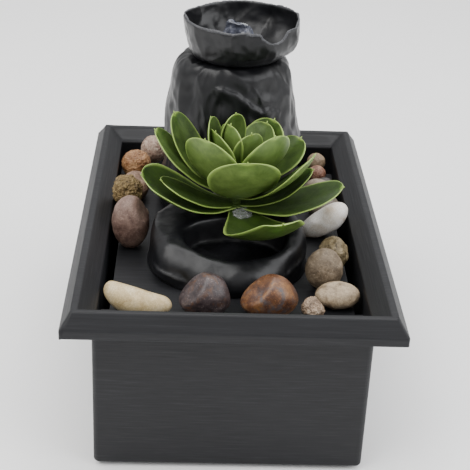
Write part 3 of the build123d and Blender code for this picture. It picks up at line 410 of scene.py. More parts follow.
def stone(name, dark, middle, light, size=7.0, speckle=0.0, vein=None, rough=0.6, pits=0.15):
    """Tumbled stone: three tones in clouds, fine grain, and where asked specks and veins."""
    s = Shader("stone_" + name, Specular_IOR_Level=0.45)
    clouds = s.noise(size, 6, 0.62, 0.7)
    tone = s.ramp(clouds, [(0.30, dark), (0.50, middle), (0.70, light)])
    grain = s.noise(0.55, 4, 0.7)
    tone = s.mix(s.span(grain, 0.40, 0.66, 0.0, 0.5), tone, tuple(c * 0.5 for c in dark))
    pale = s.span(s.noise(0.8, 3, 0.6), 0.56, 0.70, 0.0, 0.4)
    tone = s.mix(pale, tone, tuple(min(1.0, c * 1.25 + 0.01) for c in light))
    if speckle:
        bright = s.span(s.cells(0.9), 0.12, 0.26, speckle, 0.0)
        patch = s.span(s.noise(5, 3, 0.6), 0.42, 0.62)
        fleck = tuple(min(1.0, c * 2.2 + 0.12) for c in light)
        tone = s.mix(s.times(bright, patch), tone, fleck)
    if vein:
        band = s.noise(size * 1.8, 5, 0.6, 1.4)
        torn = s.span(s.noise(size * 0.6, 4, 0.6, 1.5), 0.35, 0.6)
        tone = s.mix(s.times(s.span(band, 0.50, 0.62), torn), tone, vein)
    s.colour(tone)
    s.roughness(s.span(clouds, 0.3, 0.7, rough - 0.10, rough + 0.08))
    hollows = s.bump(s.noise(2.2, 5, 0.65, 0.4), pits * 2, 0.6)
    s.normal(s.bump(grain, pits, 0.6, hollows))
    return s.material


# ---------------------------------------------------------------- camera, light, floor
FLOOR_REACH = 6.0       # metres from the middle to the floor's edge
SKY_STRENGTH = 0.85
# each lamp: name, place and width in metres, power in watts, tint
LAMPS = [
    ("key", (-0.65, -0.35, 1.05), 1.1, 14.0, (1.0, 0.99, 0.97)),
    ("top", (0.10, 0.35, 1.25), 1.3, 15.0, (1.0, 1.0, 1.0)),
    ("right", (0.95, -0.45, 0.75), 1.1, 11.0, (0.97, 0.98, 1.0)),
]
LAMP_AIM = Vector((0, 0, 0.09))
# the view is from the front and above, and leans a little to the left; angles in degrees
CAMERA_PLACE = Vector((-22.58, -570.98, 376.08))
CAMERA_TURN, CAMERA_DIP, CAMERA_ROLL = 2.556, 27.590, 2.628
CAMERA_LENS = 90.93
CAMERA_SENSOR = 36.0


def stage():
    """Pale floor, soft studio light and the camera."""
    floor = bmesh.new()
    bmesh.ops.create_grid(floor, x_segments=8, y_segments=8, size=FLOOR_REACH)
    data = bpy.data.meshes.new("floor")
    floor.to_mesh(data)
    floor.free()
    ground = bpy.data.objects.new("floor", data)
    bpy.context.scene.collection.objects.link(ground)
    paper = Shader("floor_paper", Roughness=0.85)
    greys = [(0.3, (0.90, 0.90, 0.90)), (0.7, (0.93, 0.93, 0.93))]
    paper.colour(paper.ramp(paper.noise(400, 2), greys))
    data.materials.append(paper.material)

    world = bpy.data.worlds.new("studio")
    bpy.context.scene.world = world
    world.use_nodes = True
    backdrop = world.node_tree.nodes["Background"]
    backdrop.inputs["Color"].default_value = (1.0, 1.0, 1.0, 1)
    backdrop.inputs["Strength"].default_value = SKY_STRENGTH

    for name, place, size, power, tint in LAMPS:
        lamp = bpy.data.lights.new(name, "AREA")
        lamp.shape = "DISK"
        lamp.size = size
        lamp.energy = power
        lamp.color = tint
        light = bpy.data.objects.new(name, lamp)
        light.location = place
        aim = LAMP_AIM - Vector(place)
        light.rotation_euler = aim.to_track_quat("-Z", "Y").to_euler()
        bpy.context.scene.collection.objects.link(light)

    turn, dip = radians(CAMERA_TURN), radians(CAMERA_DIP)
    ahead = Vector((sin(turn) * cos(dip), cos(turn) * cos(dip), -sin(dip)))
    right = Vector((cos(turn), -sin(turn), 0))
    up = right.cross(ahead)
    level = Matrix((right, up, -ahead)).transposed()
    data = bpy.data.cameras.new("camera")
    data.sensor_width = CAMERA_SENSOR
    data.lens = CAMERA_LENS
    camera = bpy.data.objects.new("camera", data)
    rolled = level @ Matrix.Rotation(radians(CAMERA_ROLL), 3, "Z")
    camera.matrix_world = Matrix.Translation(CAMERA_PLACE * MM) @ rolled.to_4x4()
    bpy.context.scene.collection.objects.link(camera)
    bpy.context.scene.camera = camera


# ---------------------------------------------------------------- trough
RIM_ROUNDING = 0.7      # the moulded rounding of the rim's edges
RIM_DEPTH = 12.0        # all of the rim lies this near the trough's top
RIM_EDGE = 16.0         # its straight edges are longer than this
SHARP = 28              # faces that meet at more degrees than this make an edge


def build_trough(material):
    """The trough, with the soft edges that moulding gives its rim."""
    mesh = node_bmesh("trough")
    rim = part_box("trough")[1].z / MM - RIM_DEPTH
    edges = [
        edge for edge in mesh.edges
        if edge.is_manifold and edge.calc_face_angle(0.0) > radians(SHARP)
        and edge.calc_length() > RIM_EDGE and all(vert.co.z > rim for vert in edge.verts)
    ]
    bmesh.ops.bevel(mesh, geom=edges, offset=RIM_ROUNDING, segments=3, profile=0.5,
                    affect="EDGES", clamp_overlap=True)
    piece = add_piece("trough_shell", mesh, "trough", material)
    piece.data.set_sharp_from_angle(angle=radians(30))
    # the big flat faces rule the shading, so a rounding doesn't shade the wall beside it
    normals = piece.modifiers.new("Normals", "WEIGHTED_NORMAL")
    normals.weight = 100
    normals.keep_sharp = True
    apply_modifiers(piece)


# ---------------------------------------------------------------- rock
HOSE = Vector((2.5, 49.0, 0.0))     # axis of the riser hose
PLANT = Vector((2.4, -9.0, 0.0))    # axis of the succulent's stem
COLUMN_Y = 46.5                     # the middle of the column
DECK_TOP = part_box("rock_body")[0].z / MM
COLUMN_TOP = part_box("rock_body")[1].z / MM
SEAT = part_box("glue_bead")[0].z / MM        # the top of the mound, under the plant
ROCK_VOXEL = 0.9
# the skin passes from fitted to free between these distances
BOWL_FIT = (17, 26)     # from the hose's axis, at the column's top
BOWL_DEPTH = (7, 1)     # below the column's top
HOSE_FIT = (10, 14)     # from the hose's axis, in its hole
HOSE_DEPTH = 16         # how deep the hole is
FOOT_FIT = (0.3, 4)     # above the deck
PLANT_FIT = (7, 13)     # from the stem's axis
PLANT_DEPTH = 12        # how deep its socket is
POOL_BACK = -14         # the pool lies in front of this
POOL_RIM = (84, 90)     # the height over which its worn rim begins
SOFT_BELOW, CRUMPLED_ABOVE = 96, 112        # heights: the mound is softer than the column

# folds in the casting, each a run of places: how much the rock below or right of it stands
# proud, and how wide the fold is
ROCK_FOLDS = [
    (1.5, 3.2, [(-7, 15, 155), (2, 14, 152), (9, 14, 146.5), (15, 15, 142.5), (22, 16, 143),
                (30, 21, 139.5), (36, 30, 131)]),
    (0.9, 2.2, [(-9, 16, 166), (1, 15, 161), (9, 15, 155.5), (14, 16, 149)]),
    (1.0, 2.6, [(-33, 30, 170), (-31, 25, 154), (-30, 22, 139), (-31, 22, 122)]),
    (0.9, 2.2, [(-19, 17, 161), (-20.5, 15, 150), (-20.5, 15, 141), (-23, 15, 126)]),
    (0.8, 2.6, [(33, 30, 158), (36, 40, 145), (38, 50, 125), (38, 60, 100)]),
    (0.8, 2.6, [(-10, 80, 158), (-16, 79, 140), (-14, 80, 118), (-20, 78, 95)]),
    (0.8, 2.6, [(14, 78, 152), (18, 77, 130), (12, 80, 105)]),
    (0.8, 2.8, [(-37, 58, 150), (-38, 55, 128), (-37, 60, 104)]),
    # the crest in front of the pool, and the flow lines on the mound's shoulders
    (1.0, 2.4, [(-37, -20, 95), (-31, -44, 94), (-18, -50, 94), (-9, -55, 93), (6, -55, 93),
                (16, -50, 94), (25, -52, 94), (33, -40, 94)]),
    (0.8, 2.4, [(-32, 4, 97), (-39, -10, 93), (-42, -25, 88), (-38, -42, 84), (-26, -56, 82)]),
    (0.8, 2.4, [(30, 0, 97), (36, -15, 93), (38, -30, 87), (30, -50, 84)]),
]
# hollows (below zero) and bumps: place, reach and height
ROCK_SWELLS = [
    ((20, 17, 153), 7.0, -2.8),
    ((9, 15, 159), 5.0, -1.2),
    ((-8, 14, 146), 2.4, -1.5),
    ((-6, 14, 139), 5.0, 1.0),
    ((-25, 20, 154), 5.0, -1.2),
    ((24, 17, 131), 9.0, 1.2),
    ((-36, 44, 140), 9.0, -1.2),
    ((36, 48, 150), 10.0, -1.2),
    ((4, 80, 140), 12.0, -2.0),
    ((-22, 76, 118), 12.0, -1.8),
    ((-35, -50, 82), 11.0, 3.2),
    ((8, -63, 82), 14.0, 1.6),
    ((-32, -44, 92), 7.0, 1.2),
]
CREST_DROP = 2.6        # how much the pool's crest sags at the front


def fold_height(point, rise, width, places):
    """A step across a folded line, with a soft bright ridge along it."""
    best = None
    for start, end in zip(places, places[1:]):
        start, end = Vector(start), Vector(end)
        distance, share = to_segment(point, start, end)
        if best is None or distance < best[0]:
            offset = point - start.lerp(end, share)
            # which side: below a level line, right of an upright one
            level = abs(end.x - start.x) > abs(end.z - start.z)
            best = (distance, -offset.z if level else offset.x)
    distance, side = best
    if distance > 5 * width:
        return 0.0
    across = distance if side > 0 else -distance
    ridge = hump(across - 0.4 * width, width)
    valley = hump(across + 0.9 * width, 0.7 * width)
    return rise * (ridge - 0.6 * valley)


def rock_height(point):
    """How far the casting's skin stands off the plain shape at a point, in millimetres."""
    upper = smooth(SOFT_BELOW, CRUMPLED_ABOVE, point.z)
    stretched = Vector((point.x, point.y, point.z * 0.55))
    height = (0.5 + 0.4 * upper) * fractal(point, 26, 2, 1.3)
    height += (0.3 + 0.9 * upper) * (folds(stretched, 14, 4.1) - 0.55)
    height += (0.12 + 0.40 * upper) * (folds(stretched, 6.5, 9.4) - 0.5)
    for place, reach, rise in ROCK_SWELLS:
        height += rise * hump((point - Vector(place)).length, reach)
    for rise, width, places in ROCK_FOLDS:
        height += fold_height(point, rise, width, places)
    return height - 0.4


def rock_freedom(point):
    """0 where the casting fits something, 1 on its open skin."""
    from_hose = (Vector((point.x, point.y, 0)) - HOSE).length
    begin, end = (COLUMN_TOP - depth for depth in BOWL_DEPTH)
    top = 1 - smooth(begin, end, point.z) * (1 - smooth(*BOWL_FIT, from_hose))
    hole = smooth(*HOSE_FIT, from_hose) if point.z > COLUMN_TOP - HOSE_DEPTH else 1.0
    begin, end = (DECK_TOP + rise for rise in FOOT_FIT)
    foot = smooth(begin, end, point.z)
    seat = smooth(*PLANT_FIT, (Vector((point.x, point.y, 0)) - PLANT).length)
    if point.z < SEAT - PLANT_DEPTH:
        seat = 1.0
    return top * hole * foot * seat


def on_open_skin(point, normal):
    """Whether a point is on the rock's outside, not in the hollow under it."""
    if point.z < SEAT and normal.z < -0.6:
        return False
    if point.z > SEAT + 1.5 and abs(normal.z) < 0.9:
        from_axis = Vector((point.x, point.y - COLUMN_Y, 0))
        return from_axis.dot(normal) > 0
    return True


def pool_edge(point):
    """1 round the pool's worn rim, 0 elsewhere."""
    if point.z > SEAT + 1 or point.y > POOL_BACK:
        return 0.0
    return smooth(*POOL_RIM, point.z)


def build_rock():
    """The rock: the CAD casting with its draped, wrinkled skin."""
    mesh = remeshed("rock_body", ROCK_VOXEL)
    relax(mesh, 6, lambda p: 0.25 + 0.75 * rock_freedom(p))

    def skin(point, normal):
        free = rock_freedom(point)
        return free * rock_height(point) if free and on_open_skin(point, normal) else 0.0

    push(mesh, skin)
    for vert in mesh.verts:
        x, y, z = vert.co
        sag = hump(x - 2, 20) * smooth(-40, -50, y) * smooth(86, SEAT, z)
        vert.co.z -= CREST_DROP * sag
    relax(mesh, 2, lambda p: 0.2 + 0.6 * rock_freedom(p))
    relax(mesh, 16, pool_edge)
    for vert in mesh.verts:
        vert.co.z = min(max(vert.co.z, DECK_TOP), COLUMN_TOP)
    add_piece("rock_skin", mesh, "rock_body", rock_resin("rock_resin"))


# ---------------------------------------------------------------- bowl
BOWL_VOXEL = 0.65
BOWL_MIDDLE = Vector((3.4, COLUMN_Y, 0.0))
BOWL_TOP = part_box("top_bowl")[1].z / MM
# the wall is drawn flat between upright pleats at these directions, in degrees
BOWL_PLEATS = [16, 58, 96, 140, 172, 205, 220, 262, 303, 336]
PLEAT_FLATTEN = 0.65     # share of the way from the round wall to a flat one
# lumps inside, on the right and at the back: place, reach and height
BOWL_LUMPS = [
    ((22, 60, 173), 5.5, 1.6),
    ((26, 50, 176), 4.0, 1.4),
    ((-14, 66, 174), 6.0, 1.2),
    ((10, 72, 178), 4.0, 0.9),
]
HOSE_CUP = (10.5, 5)    # radius and height of the fitted part round the hose's end
LIP_THINNING = 0.6
RIM_BELOW = 9           # the rim wanders from this far above the column's top
RIM_SINK = 0.9          # and lies this much lower on the whole
HIGHLIGHT_ANGLE = (0.16, 0.42)     # how sharp a fold is, in radians, before it takes the painted grey highlight
HIGHLIGHT_ABOVE = (8, 12)          # the painted highlight begins this far above the column's top


def flat_wall(turn, radius):
    """How far a wall that is straight between pleats lies inside a round one."""
    turn %= 360
    later = [pleat for pleat in BOWL_PLEATS if pleat > turn]
    end = later[0] if later else BOWL_PLEATS[0] + 360
    start = max([pleat for pleat in BOWL_PLEATS if pleat <= turn], default=BOWL_PLEATS[-1] - 360)
    half = radians(end - start) / 2
    middle = radians(turn - start) - half
    return radius * (1 - cos(half) / cos(middle))


def bowl_height(point, normal):
    """How far the bowl's skin stands off the plain shape at a point, in millimetres."""
    turn = atan2(point.y - BOWL_MIDDLE.y, point.x - BOWL_MIDDLE.x) * 180 / pi
    rise = smooth(COLUMN_TOP - 1, COLUMN_TOP + 5, point.z)
    from_axis = Vector((point.x, point.y, 0)) - BOWL_MIDDLE
    outer = from_axis.dot(Vector((normal.x, normal.y, 0))) > 0
    height = 0.5 * fractal(point, 14, 3, 6.2) + 0.35 * (folds(point, 9, 2.2) - 0.6)
    flatten = PLEAT_FLATTEN * flat_wall(turn + 3 * sin(point.z * 0.25), from_axis.length)
    height += -flatten - 0.35 if outer else 0.85 * flatten * smooth(10, 20, from_axis.length)
    if not outer and point.z > COLUMN_TOP + 3:
        for place, reach, lump in BOWL_LUMPS:
            height += lump * hump((point - Vector(place)).length, reach)
        # the wall thins towards its lip
        height -= LIP_THINNING * smooth(COLUMN_TOP + 8, BOWL_TOP, point.z)
    return height * rise


def build_bowl():
    """The bowl: thin lip with a painted highlight on its sharp folds, pleated wall, a dip to pour
    from.
    """
    mesh = remeshed("top_bowl", BOWL_VOXEL)
    relax(mesh, 3, lambda p: 0.2 if p.z < COLUMN_TOP + 0.5 else 1.0)

    cup_radius, cup_height = HOSE_CUP

    def skin(point, normal):
        from_hose = (Vector((point.x, point.y, 0)) - HOSE).length
        in_cup = from_hose < cup_radius and point.z < COLUMN_TOP + cup_height
        if in_cup or point.z < COLUMN_TOP + 0.2:
            return 0.0
        return bowl_height(point, normal)

    push(mesh, skin)
    # the rim wanders: it rises at the front left and the back, and dips between
    for vert in mesh.verts:
        up = smooth(COLUMN_TOP + RIM_BELOW, BOWL_TOP, vert.co.z)
        turn = atan2(vert.co.y - BOWL_MIDDLE.y, vert.co.x - BOWL_MIDDLE.x)
        sway = 0.7 * sin(2 * turn + 0.6) + 0.4 * sin(4 * turn + 1.0)
        vert.co.z = min(vert.co.z + up * (sway - RIM_SINK), BOWL_TOP)
    relax(mesh, 1, lambda p: 0.0 if p.z < COLUMN_TOP + 0.5 else 1.0)
    # painted highlight: sharp folds near the lip are marked to be painted lighter grey
    highlight_layer = mesh.verts.layers.float.new("lip_highlight")
    mesh.normal_update()
    begin, end = (COLUMN_TOP + rise for rise in HIGHLIGHT_ABOVE)
    for vert in mesh.verts:
        sharp = sum(edge.calc_face_angle(0.0) for edge in vert.link_edges) / len(vert.link_edges)
        vert[highlight_layer] = smooth(*HIGHLIGHT_ANGLE, sharp) * smooth(begin, end, vert.co.z)
    add_piece("bowl_skin", mesh, "top_bowl", rock_resin("bowl_resin", "lip_highlight"))


# peaks and hollows round the outlet: direction in degrees, height, how wide, how far out
NOZZLE_LOBES = [
    (195, 0.35, 30, 2.6),
    (320, 0.2, 30, 2.8),
    (95, 0.4, 26, 1.6),
    (255, 0.7, 24, -1.6),
    (20, 0.6, 28, -1.2),
    (150, 0.75, 26, 1.0),
]
NOZZLE_VOXEL = 0.5
NOZZLE_SLOPE = (0.22, 0.30)     # how its broken top falls, per millimetre across and back
NOZZLE_BROKEN = 7       # the break reaches this far down
NOZZLE_CHIP = 1.2


def build_nozzle():
    """The outlet: a lumpy glossy cone, like a small crag, with a dark mouth and a painted glint."""
    mesh = remeshed("outlet_nozzle", NOZZLE_VOXEL)
    low, high = box_mm("outlet_nozzle")
    tall = high.z - low.z
    relax(mesh, 2)

    def skin(point, normal):
        from_axis = Vector((point.x, point.y, 0)) - HOSE
        if (from_axis.dot(normal) <= 0 and normal.z < 0.5) or point.z < low.z + 0.4:
            return 0.0
        turn = atan2(from_axis.y, from_axis.x) * 180 / pi
        share = (point.z - low.z) / tall
        height = 0.9 * fractal(point, 6, 4, 2.0) - 0.4
        for direction, level, width, out in NOZZLE_LOBES:
            gap = (turn - direction + 180) % 360 - 180
            height += out * hump(gap, width) * hump(share - level, 0.4)
        return height * smooth(low.z, low.z + 3, point.z)

    push(mesh, skin)
    across, back = NOZZLE_SLOPE
    for vert in mesh.verts:
        # its top is broken: highest at the front left, lowest at the back right
        along = (vert.co.x - HOSE.x) * across + (vert.co.y - HOSE.y) * back
        chip = NOZZLE_CHIP * max(0.0, noise.noise(vert.co / 3.0))
        broken = smooth(high.z - NOZZLE_BROKEN, high.z, vert.co.z)
        vert.co.z -= broken * (max(0.0, 1.6 + along) + chip)
    relax(mesh, 1)
    for vert in mesh.verts:
        vert.co.z = min(max(vert.co.z, low.z), high.z)
    add_piece("nozzle_cone", mesh, "outlet_nozzle", nozzle_painted_glint())


# ---------------------------------------------------------------- succulent
LEAF_THICK = 1.5
LEAF_THINNING = 0.62    # how much thinner a leaf is at its rim
LEAF_LEVEL = 0.15       # a leaf lies level this share of the way along it
LEAF_WIDEST = 0.68      # and is widest here
LEAF_CREASE = 0.45
LEAF_EDGE = 0.90        # the pale edge begins this far out
LEAF_ROWS = 26
LEAF_COLUMNS = 16
HUB_PROFILE = [(2.6, 0.0), (4.1, 0.15), (4.5, 0.7), (4.4, 1.8), (3.9, 2.4), (2.6, 2.6)]
STEM_RADIUS = 2.45
STEM_STEPS = 16         # grips moulded round the stem, one in two a little narrower
# each whorl: hub height above the seat, then each leaf's direction, lift, length, width and
# cup radius
WHORLS = {
    "leaves_lower": (2.3, [
        (187, -1, 50, 47, 56),
        (196, 11, 44, 27, 74),
        (-12, 1, 56, 36, 78),
        (-70, -18, 52, 40, 44),
        (-5, 11, 43, 24, 52),
    ]),
    "leaves_middle": (7.0, [
        (177, 26, 55, 30, 90),
        (230, 35, 47, 37, 54),
        (-84, 22, 43, 38, 44),
        (-27, 17, 50, 31, 56),
        (156, 27, 52, 27, 60),
    ]),
    "leaves_upper": (14.0, [
        (166, 46, 37, 27, 43),
        (203, 47, 33, 33, 40),
        (-50, 27, 41, 33, 40),
        (30, 10, 42, 29, 58),
        (34, 34, 37, 32, 42),
    ]),
    "leaves_inner": (21.0, [
        (130, 60, 30, 18, 32),
        (-50, 48, 25, 21, 28),
        (40, 32, 29, 24, 36),
        (213, 56, 27, 22, 30),
    ]),
}


def leaf_half_width(share, width):
    """Half the leaf's width, this share of the way from its root to its tip."""
    if share < LEAF_WIDEST:
        return width * (0.12 + 0.38 * sin(pi / 2 * share / LEAF_WIDEST) ** 1.5)
    return width * 0.5 * sqrt(max(1 - ((share - LEAF_WIDEST) / (1 - LEAF_WIDEST)) ** 2, 0.0))


def add_leaf(mesh, edge_layer, outside_layer, root, leaf, seed):
    """A cupped leaf with a thin pale rim, a soft crease and a small point at its tip."""
    direction, lift, length, width, bend = leaf
    turn = Matrix.Rotation(radians(direction), 3, "Z") @ Matrix.Rotation(radians(-lift), 3, "Y")
    centre = Vector((LEAF_LEVEL * length, 0, bend))
    grid = {}
    for row in range(LEAF_ROWS + 1):
        share = sin(pi / 2 * row / LEAF_ROWS)
        half = max(leaf_half_width(share, width), 0.35)
        for column in range(LEAF_COLUMNS + 1):
            across = 2 * column / LEAF_COLUMNS - 1
            x = share * length * (1 - 0.010 * (1 - abs(across)))
            y = across * half
            flat = Vector((x, y, 0)) - Vector((centre.x, 0, 0))
            depth = bend * bend - flat.length_squared
            low = Vector((x, y, bend - sqrt(max(depth, 0.04 * bend * bend))))
            inward = (centre - low).normalized()
            rim = max(abs(across) ** 3, smooth(0.84, 1.0, share))
            thick = LEAF_THICK * (1 - LEAF_THINNING * rim)
            crease = LEAF_CREASE * hump(y, 0.12 * width) * smooth(0.1, 0.4, share)
            wave = 0.5 * noise.noise(Vector((x * 0.09, y * 0.12, seed))) * rim
            base = low + inward * (0.30 * rim * LEAF_THICK + wave)
            for side, offset in (("low", -0.2 * crease), ("high", thick - crease)):
                vert = mesh.verts.new(root + turn @ (base + inward * offset))
                outward = max(abs(across), smooth(LEAF_EDGE, 1.0, share))
                vert[edge_layer] = smooth(LEAF_EDGE, 1.0, outward)
                vert[outside_layer] = 1.0 if side == "low" else 0.0
                grid[side, row, column] = vert

    def face(keys):
        mesh.faces.new([grid[key] for key in keys])

    def wall(start, end, order):
        """The thin face between the two sides of the leaf, from one place on its edge to the next."""
        face([("low", *start), ("low", *end), ("high", *end), ("high", *start)][::order])

    for row in range(LEAF_ROWS):
        for column in range(LEAF_COLUMNS):
            a, b, c, d = (row, column), (row, column + 1), (row + 1, column + 1), (row + 1, column)
            face([("high", *key) for key in (a, d, c, b)])
            face([("low", *key) for key in (a, b, c, d)])
        for column, order in ((0, 1), (LEAF_COLUMNS, -1)):
            wall((row, column), (row + 1, column), order)
    for row, order in ((0, -1), (LEAF_ROWS, 1)):
        for column in range(LEAF_COLUMNS):
            wall((row, column), (row, column + 1), order)
    # the moulded point at the tip
    tip = grid["high", LEAF_ROWS, LEAF_COLUMNS // 2].co
    ahead = (tip - grid["high", LEAF_ROWS - 4, LEAF_COLUMNS // 2].co).normalized()
    start = len(mesh.verts)
    turn = ahead.to_track_quat("Z", "Y").to_matrix().to_4x4()
    bmesh.ops.create_cone(
        mesh, cap_ends=True, segments=8, radius1=0.75, radius2=0.2, depth=2.6,
        matrix=Matrix.Translation(tip + ahead * 0.6) @ turn,
    )
    mesh.verts.ensure_lookup_table()
    for vert in mesh.verts[start:]:
        vert[edge_layer] = 1.0


def add_lathe(mesh, centre, profile, segments=32, wobble=0.0):
    """A closed turned shape through (radius, height) points."""
    rings = []
    for radius, height in profile:
        ring = []
        for step in range(segments):
            turn = 2 * pi * step / segments
            uneven = radius * (1 + wobble * sin(3 * turn + height))
            place = Vector((uneven * cos(turn), uneven * sin(turn), height))
            ring.append(mesh.verts.new(centre + place))
        rings.append(ring)
    for lower, upper in zip(rings, rings[1:]):
        for step in range(segments):
            after = (step + 1) % segments
            mesh.faces.new((lower[step], lower[after], upper[after], upper[step]))
    mesh.faces.new(rings[0][::-1])
    mesh.faces.new(rings[-1])


def build_plant():
    """The succulent: stacked whorls of cupped leaves on a stem, with a bud."""
    # painted light and shade: one green in lighter and darker copies per whorl, the lower whorl
    # darkest in the shade of those above
    tones = {
        "leaves_lower": ((0.016, 0.034, 0.004), (0.036, 0.072, 0.008), (0.070, 0.120, 0.018)),
        "leaves_middle": ((0.020, 0.042, 0.005), (0.062, 0.108, 0.018), (0.150, 0.225, 0.050)),
        "leaves_upper": ((0.024, 0.048, 0.006), (0.060, 0.108, 0.016), (0.115, 0.180, 0.038)),
        "leaves_inner": ((0.030, 0.056, 0.008), (0.075, 0.130, 0.022), (0.140, 0.215, 0.050)),
    }
    for node, (hub, leaves) in WHORLS.items():
        mesh = bmesh.new()
        edge_layer = mesh.verts.layers.float.new("edge")
        outside_layer = mesh.verts.layers.float.new("outside")
        bottom = PLANT + Vector((0, 0, SEAT + hub))
        for index, leaf in enumerate(leaves):
            root = bottom + Vector((0, 0, 0.3))
            add_leaf(mesh, edge_layer, outside_layer, root, leaf, index * 3.7 + hub)
        add_lathe(mesh, bottom, HUB_PROFILE)
        look = plant_green(node, *tones[node])
        subdivide(add_piece(node.replace("leaves", "whorl"), mesh, node, look), 1)

    low, high = box_mm("plant_stem")
    mesh = bmesh.new()
    rings = [(1.9, low.z), (STEM_RADIUS, low.z + 0.6)]
    for step in range(1, STEM_STEPS):
        height = low.z + (high.z - low.z) * step / STEM_STEPS
        rings.append((STEM_RADIUS - 0.22 * (step % 2), height))
    rings += [(STEM_RADIUS, high.z - 0.4), (2.0, high.z)]
    add_lathe(mesh, PLANT, rings, 28, 0.02)
    green = plant_green("stem_green", *tones["leaves_upper"])
    add_piece("stem_post", mesh, "plant_stem", green)

    low, high = box_mm("plant_bud")
    mesh = bmesh.new()
    tall = high.z - low.z
    add_lathe(mesh, PLANT + Vector((0, 0, low.z)), [
        (1.8, 0), (2.4, 0.06 * tall), (2.45, 0.3 * tall), (2.1, 0.55 * tall), (1.5, 0.78 * tall),
        (0.8, 0.94 * tall), (0.25, tall),
    ], 24, 0.10)
    green = plant_green("bud_green", *tones["leaves_inner"])
    subdivide(add_piece("bud_tip", mesh, "plant_bud", green), 2)


GLUE_HALF = Vector((6.4, 4.8, 4.0))         # half the blob's size
GLUE_MIDDLE = PLANT + Vector((2.2, -6.4, SEAT + 0.2))


def build_glue():
    """The clear blob that was squeezed out in front of the stem."""
    mesh = bmesh.new()
    bmesh.ops.create_icosphere(mesh, subdivisions=5, radius=1.0)
    for vert in mesh.verts:
        way = vert.co.normalized()
        crumple = 1 + 0.22 * noise.noise(way * 2.1 + Vector((4, 1, 8)))
        crumple += 0.10 * noise.noise(way * 6.0)
        crumple -= 0.10 * abs(noise.noise(way * 3.3 + Vector((1, 9, 2))))
        vert.co = GLUE_MIDDLE + way * GLUE_HALF * crumple
    add_piece("glue_lump", mesh, "glue_bead", clear_glue())


# ---------------------------------------------------------------- pebbles
FLAT_CUT = 0.92         # how nearly flat a worn flat is
MAX_SWELL = 1.25
STONE_SINK = 0.5        # this much of its underside is worn flat

